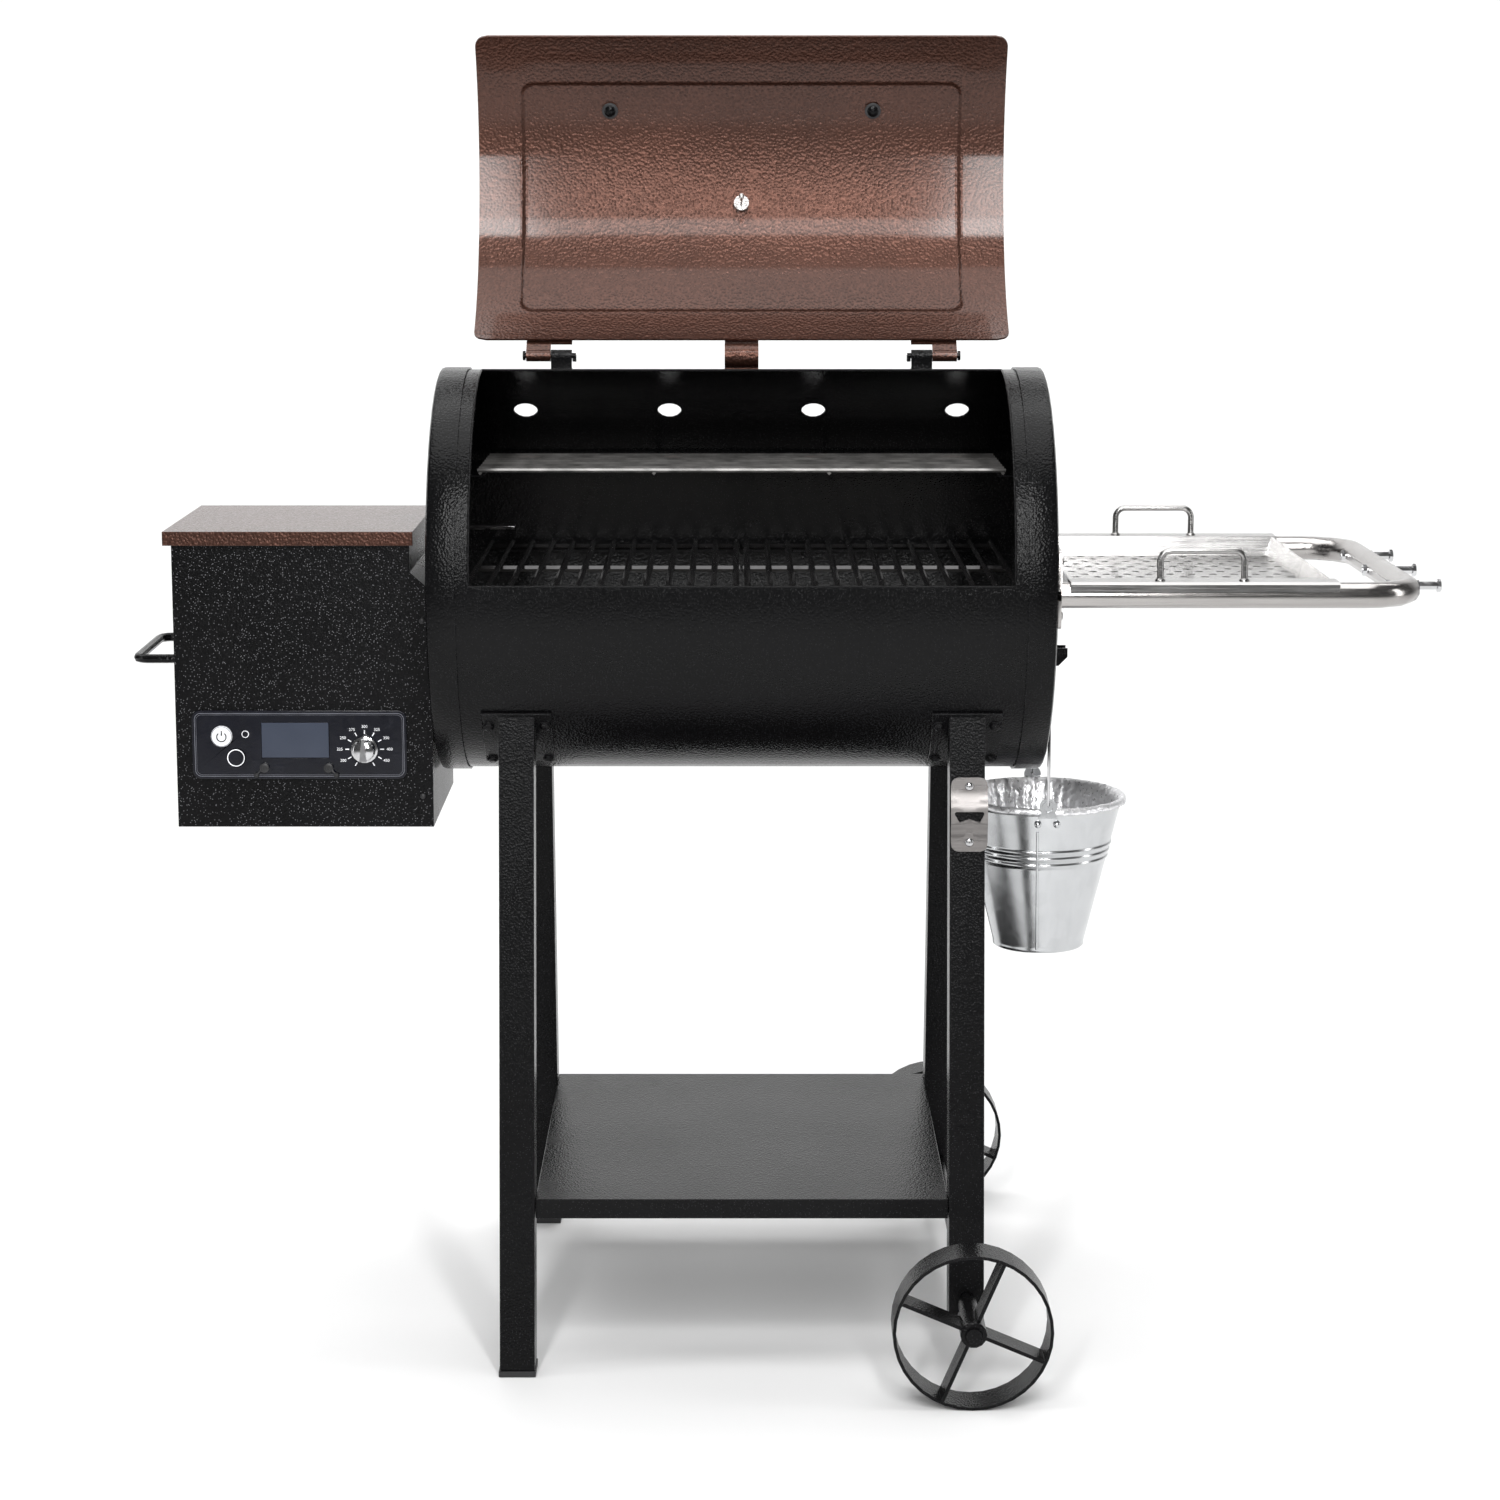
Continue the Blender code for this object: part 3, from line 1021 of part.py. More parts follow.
# ---------------------------------------------------------------- the whole grill
barrel_shell()
caps()
main_lid()
lid_handle()
thermometer()
hinges()
lid_stop_tab()
upper_rack()
main_grate(-1, "grate_left")
main_grate(1, "grate_right")
flame_plates()
burn_pot()
auger()
fan()
temperature_probe()
hopper_body()
hopper_lid()
hopper_bin()
hopper_grille()
hopper_handle()
cord_gland()
control_panel()
controls()
leg("leg_front_left", -LEG_X, -1, LEG_LEFT_END)
leg("leg_front_right", LEG_X, -1, LEG_RIGHT_END)
leg("leg_rear_left", -LEG_X, 1, LEG_LEFT_END)
leg("leg_rear_right", LEG_X, 1, LEG_RIGHT_END)
foot_cap("foot_cap_front", -1)
foot_cap("foot_cap_rear", 1)
bottom_shelf()
wheel_axle()
wheel("wheel_front", -1)
wheel("wheel_rear", 1)
bottle_opener()
shelf_frame()
tool_pegs()
serving_tray()
grease_spout()
bucket()
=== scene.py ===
"""Looks for the pellet smoker grill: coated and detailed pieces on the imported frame, in studio light."""
import json
from math import cos, degrees, pi, radians, sin, sqrt

import bmesh
import bpy
from mathutils import Matrix, Vector, noise


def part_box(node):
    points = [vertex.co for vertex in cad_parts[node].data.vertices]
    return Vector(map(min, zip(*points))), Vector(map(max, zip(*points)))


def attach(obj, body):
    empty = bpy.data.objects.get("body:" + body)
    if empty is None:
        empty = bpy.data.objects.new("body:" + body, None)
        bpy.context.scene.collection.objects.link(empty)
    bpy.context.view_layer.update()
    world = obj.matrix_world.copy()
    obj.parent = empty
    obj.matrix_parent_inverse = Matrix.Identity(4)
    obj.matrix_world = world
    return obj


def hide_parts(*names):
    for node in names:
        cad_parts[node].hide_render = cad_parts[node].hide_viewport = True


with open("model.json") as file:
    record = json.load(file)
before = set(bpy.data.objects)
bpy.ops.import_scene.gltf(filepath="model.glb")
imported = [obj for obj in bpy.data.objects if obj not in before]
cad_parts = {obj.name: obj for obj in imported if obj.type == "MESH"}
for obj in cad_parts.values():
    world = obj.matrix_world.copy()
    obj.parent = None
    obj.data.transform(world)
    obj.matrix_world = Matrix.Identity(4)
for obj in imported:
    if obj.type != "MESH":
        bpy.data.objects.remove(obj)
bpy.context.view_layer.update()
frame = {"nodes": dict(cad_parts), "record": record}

nodes = frame["nodes"]

# ---------------------------------------------------------------- driving dimensions, as in the frame
SHIFT = -0.038                   # the barrel's middle along X
AXIS = 0.760                     # height of the barrel's axis
LID_INNER_R = 0.2015
LID_SHEET = 0.0020
LID_HALF = 0.2706
LID_START, LID_END = -3.6, 95.9
LID_CORNER = 0.013
LID_OPEN = 145.2
HINGE = Vector((0, 0.0339, AXIS + 0.2116))
PANEL_HALF = 0.2245              # the pressed rectangle in the lid
PANEL_START, PANEL_END = 12.0, 82.5
PANEL_CORNER = 0.012
PRESSED = 0.0022
THERMOMETER_ANGLE = 47.2
BUCKET = Vector((0.3045 + SHIFT, 0, 0))
RIM_Z, FOOT_Z = AXIS - 0.2335, AXIS - 0.3875
RIM_R, FOOT_R = 0.083, 0.0453
EAR_Z = AXIS - 0.228
FRONT_Y = -0.1158                # the control panel's face
PANEL = (-0.539 + SHIFT, -0.3288 + SHIFT, AXIS - 0.1937, AXIS - 0.1258)
POWER = (-0.5100 + SHIFT, AXIS - 0.1513, 0.0105)
PRIME = (-0.4962 + SHIFT, AXIS - 0.1725, 0.0090)
LAMP = (-0.4868 + SHIFT, AXIS - 0.1491)
DIAL = (-0.3699 + SHIFT, AXIS - 0.1641)
TRAY_LEFT, TRAY_RIGHT = 0.312 + SHIFT, 0.567 + SHIFT
TRAY_RIM_Z, TRAY_FLOOR_Z = AXIS + 0.0116, AXIS - 0.0080
PUNCH_R = 0.0043                 # the holes in the tray's floor
HANDLE_XS = (0.398 + SHIFT, 0.478 + SHIFT)
HANDLE_Y = 0.185


# ---------------------------------------------------------------- materials
class Look:
    """A material under construction: its shader and short calls that add nodes."""

    def __init__(self, name, roughness=0.4, metallic=0.0, **sockets):
        self.material = bpy.data.materials.new(name)
        self.material.use_nodes = True
        self.tree = self.material.node_tree
        self.shader = self.tree.nodes["Principled BSDF"]
        self.shader.inputs["Roughness"].default_value = roughness
        self.shader.inputs["Metallic"].default_value = metallic
        for key, value in sockets.items():
            self.shader.inputs[key.replace("_", " ")].default_value = value
        self.place = self.node("ShaderNodeTexCoord").outputs["Object"]

    def node(self, kind, **settings):
        made = self.tree.nodes.new(kind)
        for key, value in settings.items():
            setattr(made, key, value)
        return made

    def join(self, source, target):
        self.tree.links.new(source, target)

    def stretched(self, scale):
        mapping = self.node("ShaderNodeMapping")
        mapping.inputs["Scale"].default_value = scale
        self.join(self.place, mapping.inputs["Vector"])
        return mapping.outputs["Vector"]

    def cloud(self, scale, detail=3.0, where=None, rough=0.5):
        made = self.node("ShaderNodeTexNoise")
        made.inputs["Scale"].default_value = scale
        made.inputs["Detail"].default_value = detail
        made.inputs["Roughness"].default_value = rough
        self.join(where or self.place, made.inputs["Vector"])
        return made.outputs["Fac"]

    def cells(self, scale, feature="F1", output="Distance", where=None, smooth=None):
        made = self.node("ShaderNodeTexVoronoi", feature=feature)
        made.inputs["Scale"].default_value = scale
        if smooth is not None:
            made.inputs["Smoothness"].default_value = smooth
        self.join(where or self.place, made.inputs["Vector"])
        return made.outputs[output]

    def ramp(self, source, stops):
        made = self.node("ShaderNodeValToRGB")
        band = made.color_ramp
        while len(band.elements) < len(stops):
            band.elements.new(0.5)
        for element, (position, value) in zip(band.elements, stops):
            element.position = position
            colour = (value,) * 3 if isinstance(value, (int, float)) else value
            element.color = (*colour, 1)
        self.join(source, made.inputs["Fac"])
        return made.outputs["Color"]

    def remap(self, source, low, high, to_low, to_high):
        made = self.node("ShaderNodeMapRange")
        for key, value in zip(("From Min", "From Max", "To Min", "To Max"), (low, high, to_low, to_high)):
            made.inputs[key].default_value = value
        self.join(source, made.inputs["Value"])
        return made.outputs["Result"]

    def mix(self, factor, first, second, blend="MIX"):
        made = self.node("ShaderNodeMix", data_type="RGBA", blend_type=blend)
        for index, value in ((0, factor), (6, first), (7, second)):
            if isinstance(value, (int, float)):
                made.inputs[index].default_value = value
            elif isinstance(value, tuple):
                made.inputs[index].default_value = (*value, 1)
            else:
                self.join(value, made.inputs[index])
        return made.outputs[2]

    def rubbed_and_edge_highlit(self, colour, rubbed_and_highlight_tone, reach=0.0012, amount=0.5):
        """Lighter along sharp edges, in patches: partly rubbed coat, partly a painted edge highlight."""
        rounded = self.node("ShaderNodeBevel", samples=4)
        rounded.inputs["Radius"].default_value = reach
        alike = self.node("ShaderNodeVectorMath", operation="DOT_PRODUCT")
        self.join(rounded.outputs["Normal"], alike.inputs[0])
        self.join(self.node("ShaderNodeNewGeometry").outputs["Normal"], alike.inputs[1])
        # the edge mask lightens the colour: rubbed coat and painted edge highlight together
        edge = self.remap(alike.outputs["Value"], 0.97, 0.86, 0, amount)
        patch = self.remap(self.cloud(90, 4), 0.45, 0.62, 0.15, 1)
        both = self.node("ShaderNodeMath", operation="MULTIPLY")
        self.join(edge, both.inputs[0])
        self.join(patch, both.inputs[1])
        return self.mix(both.outputs[0], colour, rubbed_and_highlight_tone)

    def colour(self, source):
        self.join(source, self.shader.inputs["Base Color"])

    def rough(self, source):
        self.join(source, self.shader.inputs["Roughness"])

    def bump(self, *heights):
        """Each height is (source, distance in metres, strength)."""
        normal = None
        for source, distance, strength in heights:
            made = self.node("ShaderNodeBump")
            made.inputs["Distance"].default_value = distance
            made.inputs["Strength"].default_value = strength
            self.join(source, made.inputs["Height"])
            if normal:
                self.join(normal, made.inputs["Normal"])
            normal = made.outputs["Normal"]
        self.join(normal, self.shader.inputs["Normal"])


def coated_black(name, grain, roughness, flecks_and_glints=0.0):
    """Textured powder coat: a fine orange peel with dust, a little rubbing and a painted edge highlight."""
    look = Look(name, roughness=roughness, Specular_IOR_Level=0.12)
    patches = look.remap(look.cloud(5, 3), 0.3, 0.75, 0, 1)
    base = look.mix(patches, (0.0026, 0.0026, 0.0028), (0.0042, 0.0042, 0.0046))
    if flecks_and_glints:
        # light grey flecks in the colour: partly the coat's own flecks, partly painted glints for its sparkle
        sparkle = look.remap(look.cells(430), 0.13, 0.22, flecks_and_glints, 0)
        base = look.mix(sparkle, base, (0.34, 0.34, 0.36))
    look.colour(look.rubbed_and_edge_highlit(base, (0.05, 0.05, 0.054)))
    look.rough(look.remap(look.cloud(7, 2), 0.3, 0.75, roughness - 0.02, roughness + 0.03))
    look.bump((look.cells(grain, "SMOOTH_F1", smooth=0.3), 0.0006, 0.5),
              (look.cloud(grain * 1.7, 2), 0.0003, 0.3))
    return look.material


def glossy_wire(name, tone, roughness):
    """Porcelain-coated or nickelled rods: dark, hard and shiny, with smoke stains."""
    look = Look(name, roughness=roughness, metallic=0.6, Coat_Weight=0.6, Coat_Roughness=0.12)
    look.colour(look.mix(look.remap(look.cloud(40, 4), 0.35, 0.7, 0, 1), tone, tuple(c * 0.45 for c in tone)))
    look.rough(look.remap(look.cloud(140, 3), 0.3, 0.75, roughness - 0.05, roughness + 0.12))
    look.bump((look.cloud(900, 2), 0.0001, 0.2))
    return look.material


def hammered_bronze(name, dark, light):
    look = Look(name, roughness=0.3, metallic=0.75, Coat_Weight=0.3, Coat_Roughness=0.10)
    dimples = look.cells(360, "SMOOTH_F1", smooth=0.6)
    base = look.mix(look.remap(look.cloud(7, 2), 0.3, 0.7, 0, 1), dark, light)
    ridge = look.remap(dimples, 0.35, 0.75, 0, 0.3)
    look.colour(look.mix(ridge, base, tuple(min(1, c * 1.6) for c in light)))
    look.rough(look.remap(look.cloud(500, 2), 0.3, 0.7, 0.27, 0.40))
    look.bump((dimples, 0.0012, 0.6), (look.cloud(900, 2), 0.0003, 0.3))
    return look.material


def brushed(name, tone, along, roughness=0.28):
    """Brushed stainless steel: fine scratches that run along one axis."""
    look = Look(name, roughness=roughness, metallic=1.0)
    scale = {"X": (14, 900, 900), "Y": (900, 14, 900), "Z": (900, 900, 14)}[along]
    lines = look.cloud(1.0, 3, look.stretched(scale), 0.7)
    smudge = look.remap(look.cloud(14, 4), 0.4, 0.75, 0, 1)
    bright = tuple(c * 1.06 for c in tone)
    dull = tuple(c * 0.86 for c in tone)
    look.colour(look.mix(look.remap(lines, 0.3, 0.7, 0, 1), dull, bright))
    marks = look.node("ShaderNodeMath", operation="ADD")
    look.join(look.remap(lines, 0.3, 0.7, roughness - 0.08, roughness + 0.07), marks.inputs[0])
    look.join(look.remap(smudge, 0, 1, 0, 0.08), marks.inputs[1])
    look.rough(marks.outputs[0])
    look.bump((lines, 0.0002, 0.25))
    return look.material


def polished(name, tone, roughness=0.12):
    look = Look(name, roughness=roughness, metallic=1.0)
    look.colour(look.mix(look.remap(look.cloud(30, 4), 0.35, 0.7, 0, 1), tone, tuple(c * 0.8 for c in tone)))
    look.rough(look.remap(look.cloud(160, 4), 0.3, 0.75, roughness * 0.6, roughness * 1.9))
    look.bump((look.cloud(500, 2), 0.0001, 0.2))
    return look.material


def zinc_coat():
    """Galvanised sheet: broad soft crystals and faint vertical streaks."""
    look = Look("zinc_coat", roughness=0.3, metallic=1.0)
    crystals = look.cells(75, "F1", "Color")
    shade = look.node("ShaderNodeSeparateColor")
    look.join(crystals, shade.inputs["Color"])
    streaks = look.cloud(1.0, 4, look.stretched((120, 120, 6)))
    base = look.mix(look.remap(shade.outputs[0], 0, 1, 0, 0.5), (0.57, 0.58, 0.59), (0.50, 0.51, 0.52))
    look.colour(look.mix(look.remap(streaks, 0.5, 0.8, 0, 0.25), base, (0.38, 0.39, 0.40)))
    look.rough(look.remap(shade.outputs[1], 0, 1, 0.20, 0.27))
    look.bump((look.cloud(45, 2), 0.0003, 0.15), (crystals, 0.00005, 0.1))
    return look.material


def crinkled_foil():
    look = Look("crinkled_foil", roughness=0.3, metallic=0.7)
    folds = look.cells(210, "F1", "Distance")
    patches = look.remap(look.cloud(120, 3), 0.3, 0.7, 0, 1)
    look.colour(look.mix(patches, (0.95, 0.95, 0.96), (0.78, 0.78, 0.80)))
    look.rough(look.remap(look.cloud(260, 3), 0.3, 0.7, 0.24, 0.42))
    look.bump((folds, 0.0012, 0.45), (look.cloud(330, 3), 0.0005, 0.35))
    return look.material


def moulded(name, tone, roughness=0.42, grain=1500):
    look = Look(name, roughness=roughness)
    faded = tuple(c * 1.5 + 0.002 for c in tone)
    look.colour(look.mix(look.remap(look.cloud(60, 4), 0.35, 0.7, 0, 1), tone, faded))
    look.rough(look.remap(look.cloud(220, 3), 0.3, 0.7, roughness - 0.06, roughness + 0.08))
    look.bump((look.cloud(grain, 2), 0.0002, 0.3))
    return look.material


def liquid_crystal():
    look = Look("liquid_crystal", roughness=0.16, Coat_Weight=0.6, Coat_Roughness=0.05)
    glow = look.ramp(look.cloud(16, 2), [(0.3, (0.026, 0.033, 0.052)), (0.75, (0.040, 0.050, 0.075))])
    rows = look.cells(2600, "F1", "Distance")
    look.colour(look.mix(look.remap(rows, 0.2, 0.7, 0, 0.25), glow, (0.05, 0.06, 0.09)))
    look.bump((look.cloud(900, 2), 0.00005, 0.2))
    return look.material


def clear_pane():
    look = Look("clear_pane", roughness=0.04, IOR=1.46, Transmission_Weight=1.0,
                Base_Color=(0.97, 0.98, 0.98, 1))
    look.rough(look.remap(look.cloud(40, 4), 0.5, 0.8, 0.02, 0.10))
    return look.material


def pale_floor():
    look = Look("pale_floor", roughness=0.55)
    look.colour(look.ramp(look.cloud(1.3, 3), [(0.3, 0.86), (0.7, 0.885)]))
    look.bump((look.cloud(55, 4), 0.0004, 0.08))
    return look.material


black = coated_black("barrel_black", 430, 0.20, flecks_and_glints=0.05)
satin_black = coated_black("stand_black", 460, 0.26, flecks_and_glints=0.08)
hopper_black = coated_black("hopper_black", 460, 0.28, flecks_and_glints=0.55)
wire_black = glossy_wire("wire_enamel", (0.035, 0.033, 0.034), 0.16)
rack_wire = glossy_wire("rack_wire", (0.34, 0.33, 0.32), 0.15)
bronze = hammered_bronze("hammered_bronze", (0.050, 0.0215, 0.0145), (0.072, 0.030, 0.020))
steel = brushed("brushed_steel", (0.40, 0.385, 0.375), "X", 0.20)
steel_plate = brushed("brushed_plate", (0.20, 0.19, 0.185), "X", 0.30)
chrome = polished("bright_metal", (0.62, 0.62, 0.63))
bare_steel = brushed("bare_steel", (0.42, 0.41, 0.39), "X", 0.38)
zinc = zinc_coat()
foil = crinkled_foil()
plastic = moulded("black_plastic", (0.010, 0.010, 0.011))
panel_gloss = moulded("panel_gloss", (0.0022, 0.0026, 0.0060), 0.12, 500)
white = moulded("white_print", (0.72, 0.73, 0.75), 0.35, 900)
grey_print = moulded("grey_print", (0.16, 0.165, 0.19), 0.40, 900)
red = moulded("needle_red", (0.45, 0.02, 0.012), 0.35, 900)
screen = liquid_crystal()
pane = clear_pane()
rim_gloss = coated_black("rim_gloss", 1600, 0.18)
tray_steel = brushed("tray_steel", (0.37, 0.365, 0.36), "X", 0.22)


# ---------------------------------------------------------------- shapes
def joined(*shapes):
    """Several (points, faces) as one."""
    points, faces = [], []
    for more_points, more_faces in shapes:
        start = len(points)
        points += more_points
        faces += [tuple(start + i for i in face) for face in more_faces]
    return points, faces


def prism(outline, start, end, along="Y"):
    order = {"X": lambda a, b, c: (c, a, b),
             "Y": lambda a, b, c: (a, c, b),
             "Z": lambda a, b, c: (a, b, c)}[along]
    n = len(outline)
    points = [order(a, b, c) for c in (start, end) for a, b in outline]
    faces = [tuple(range(n)), tuple(range(2 * n - 1, n - 1, -1))]
    faces += [(i, i + n, (i + 1) % n + n, (i + 1) % n) for i in range(n)]
    return points, faces


BOX_FACES = [(0, 1, 2, 3), (7, 6, 5, 4), (0, 4, 5, 1), (1, 5, 6, 2), (2, 6, 7, 3), (3, 7, 4, 0)]


def turned(profile, centre, direction, segments=48):
    """Closed lathe shape; the profile is (radius, distance) and its ends sit on the axis or meet."""
    axis = Vector(direction).normalized()
    side = axis.orthogonal().normalized()
    other = axis.cross(side)
    points, rows = [], []
    for radius, distance in profile:
        if radius < 1e-7:
            rows.append([len(points)] * segments)
            points.append(Vector(centre) + axis * distance)
            continue
        rows.append(list(range(len(points), len(points) + segments)))
        for k in range(segments):
            turn = 2 * pi * k / segments
            points.append(Vector(centre) + axis * distance + (side * cos(turn) + other * sin(turn)) * radius)
    faces = []
    count = len(rows) if profile[0][0] > 1e-7 else len(rows) - 1
    for r in range(count):
        low, high = rows[r], rows[(r + 1) % len(rows)]
        for k in range(segments):
            m = (k + 1) % segments
            face = []
            for index in (low[k], low[m], high[m], high[k]):
                if index not in face:
                    face.append(index)
            if len(face) > 2:
                faces.append(tuple(face))
    return [tuple(p) for p in points], faces


def tube(path, radius, sides=12, closed=False):
    line = [Vector(p) for p in path]
    n = len(line)
    points, faces, across = [], [], None
    for i, here in enumerate(line):
        before = line[i - 1] if (i or closed) else here
        after = line[(i + 1) % n] if (i < n - 1 or closed) else here
        way = (after - before).normalized()
        across = way.orthogonal() if across is None else across - way * across.dot(way)
        across.normalize()
        up = way.cross(across)
        for k in range(sides):
            turn = 2 * pi * k / sides
            points.append(tuple(here + (across * cos(turn) + up * sin(turn)) * radius))
    for i in range(n if closed else n - 1):
        j = (i + 1) % n
        for k in range(sides):
            m = (k + 1) % sides
            faces.append((i * sides + k, i * sides + m, j * sides + m, j * sides + k))
    if not closed:
        faces += [tuple(range(sides - 1, -1, -1)), tuple((n - 1) * sides + k for k in range(sides))]
    return points, faces


def bent(corners, radius, steps=8):
    """A path with its corners rounded to that radius."""
    points = [Vector(c) for c in corners]
    path = [points[0]]
    for before, here, after in zip(points, points[1:], points[2:]):
        back, on = (before - here).normalized(), (after - here).normalized()
        half = back.angle(on) / 2
        reach = radius / (sin(half) / cos(half))
        centre = here + (back + on).normalized() * (radius / sin(half))
        first, last = here + back * reach - centre, here + on * reach - centre
        for k in range(steps + 1):
            path.append(centre + first.lerp(last, k / steps).normalized() * radius)
    return path + [points[-1]]


def rounded_rectangle(x0, x1, z0, z1, radius, steps=6):
    corners = [(x1 - radius, z1 - radius, 0), (x0 + radius, z1 - radius, 90),
               (x0 + radius, z0 + radius, 180), (x1 - radius, z0 + radius, 270)]
    return [(x + radius * cos(radians(a + 90 * k / steps)), z + radius * sin(radians(a + 90 * k / steps)))
            for x, z, a in corners for k in range(steps + 1)]


def ribbon(outer, inner, back, front):
    """A flat closed band between two outlines with the same number of points, facing along -Y."""
    n = len(outer)
    points = [(x, y, z) for y in (back, front) for outline in (outer, inner) for x, z in outline]
    faces = []
    for i in range(n):
        j = (i + 1) % n
        faces += [(i, j, n + j, n + i), (2 * n + i, 3 * n + i, 3 * n + j, 2 * n + j),
                  (i, 2 * n + i, 2 * n + j, j), (n + i, n + j, 3 * n + j, 3 * n + i)]
    return points, faces


def ring(x, z, radius, width, back, front, steps=32):
    circle = [(cos(2 * pi * k / steps), sin(2 * pi * k / steps)) for k in range(steps)]
    outer = [(x + a * radius, z + b * radius) for a, b in circle]
    inner = [(x + a * (radius - width), z + b * (radius - width)) for a, b in circle]
    return ribbon(outer, inner, back, front)


def on_barrel(x, radius, angle):
    return Vector((x, -radius * cos(radians(angle)), AXIS + radius * sin(radians(angle))))


def opened(point):
    """Where a point of the closed lid stands with the lid open."""
    turned_point = Matrix.Rotation(radians(-LID_OPEN), 3, "X") @ (Vector(point) - HINGE) + HINGE
    return (turned_point.x + SHIFT, turned_point.y, turned_point.z)


def smooth(mesh, angle=38):
    mesh.polygons.foreach_set("use_smooth", [True] * len(mesh.polygons))
    mesh.set_sharp_from_angle(angle=radians(angle))


def make(name, shape, material, body, stands_for=(), angle=38):
    points, faces = shape
    mesh = bpy.data.meshes.new(name)
    mesh.from_pydata([tuple(p) for p in points], [], faces)
    mesh.update()
    thing = bpy.data.objects.new(name, mesh)
    bpy.context.scene.collection.objects.link(thing)
    mesh.materials.append(material)
    outward(mesh)
    smooth(mesh, angle)
    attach(thing, body)
    if stands_for:
        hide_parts(*stands_for)
    return thing


def outward(mesh):
    work = bmesh.new()
    work.from_mesh(mesh)
    bmesh.ops.recalc_face_normals(work, faces=work.faces)
    work.to_mesh(mesh)
    work.free()


# ---------------------------------------------------------------- shading of the carried-over nodes
def welded_shading(angle=38):
    """Node group that welds a node's faces and shades them round except at sharp edges."""
    group = bpy.data.node_groups.new("welded_shading", "GeometryNodeTree")
    group.interface.new_socket("Geometry", in_out="INPUT", socket_type="NodeSocketGeometry")
    group.interface.new_socket("Geometry", in_out="OUTPUT", socket_type="NodeSocketGeometry")
    start, end = group.nodes.new("NodeGroupInput"), group.nodes.new("NodeGroupOutput")
    last = start.outputs[0]
    for name in ("custom_normal", "sharp_edge", "sharp_face"):
        drop = group.nodes.new("GeometryNodeRemoveAttribute")
        drop.inputs["Name"].default_value = name
        group.links.new(last, drop.inputs["Geometry"])
        last = drop.outputs["Geometry"]
    weld = group.nodes.new("GeometryNodeMergeByDistance")
    weld.inputs["Distance"].default_value = 0.00001
    group.links.new(last, weld.inputs["Geometry"])
    soft = group.nodes.new("GeometryNodeSetShadeSmooth")
    group.links.new(weld.outputs["Geometry"], soft.inputs["Geometry"])
    bend = group.nodes.new("GeometryNodeInputMeshEdgeAngle")
    test = group.nodes.new("FunctionNodeCompare")
    test.data_type, test.operation = "FLOAT", "GREATER_THAN"
    test.inputs[1].default_value = radians(angle)
    group.links.new(bend.outputs["Unsigned Angle"], test.inputs[0])
    hard = group.nodes.new("GeometryNodeSetShadeSmooth")
    hard.domain = "EDGE"
    hard.inputs["Shade Smooth"].default_value = False
    group.links.new(soft.outputs["Geometry"], hard.inputs["Geometry"])
    group.links.new(test.outputs["Result"], hard.inputs["Selection"])
    group.links.new(hard.outputs["Geometry"], end.inputs[0])
    return group


BEVELLED = {"leg_front_left": 0.0016, "leg_front_right": 0.0016, "leg_rear_left": 0.0016,
            "leg_rear_right": 0.0016, "bottom_shelf": 0.0008, "hopper_lid": 0.0005,
            "hopper_body": 0.0004, "foot_cap_front": 0.0012,
            "foot_cap_rear": 0.0012, "wheel_front": 0.0004, "wheel_rear": 0.0004, "control_panel": 0.0004,
            "control_dial": 0.0003, "power_button": 0.0003, "prime_button": 0.0003}


def dress_nodes():
    group = welded_shading()
    looks = {"black_paint": black, "bronze_paint": bronze, "stainless": steel, "bright_steel": chrome,
             "galvanised": zinc, "foil": foil, "enamel": wire_black, "black_plastic": plastic,
             "panel_blue": panel_gloss, "display_grey": screen, "white_plastic": white, "clear_glass": pane,
             "red_paint": red, "raw_steel": bare_steel}
    special = {"hopper_body": hopper_black, "bottom_shelf": satin_black, "bottle_opener": steel_plate,
               "prime_button": panel_gloss, "lid_handle": black, "wheel_axle": satin_black,
               "temperature_probe": wire_black, "upper_rack": rack_wire,
               "wheel_front": satin_black, "wheel_rear": satin_black,
               "leg_front_left": satin_black, "leg_front_right": satin_black,
               "leg_rear_left": satin_black, "leg_rear_right": satin_black}
    slots = {entry["node"]: entry["material_slot"] for entry in frame["record"]["subparts"]}
    for name, node in nodes.items():
        look = special.get(name, looks[slots[name]])
        for slot in node.material_slots:
            slot.material = look
        shading = node.modifiers.new("welded_shading", "NODES")
        shading.node_group = group
        if name in BEVELLED:
            edge = node.modifiers.new("edges", "BEVEL")
            edge.width = BEVELLED[name]
            edge.segments = 2
            edge.limit_method = "ANGLE"
            edge.angle_limit = radians(50)
            edge.harden_normals = True


# ---------------------------------------------------------------- lid
def spread(start, end, marks, coarse, fine, reach):
    """Positions from start to end, fine within reach of each mark and coarse elsewhere."""
    places = [start]
    while places[-1] < end - fine * 0.6:
        near = min((abs(places[-1] - mark) for mark in marks), default=reach * 9)
        places.append(min(end, places[-1] + (fine if near < reach else coarse)))
    places[-1] = end
    return places


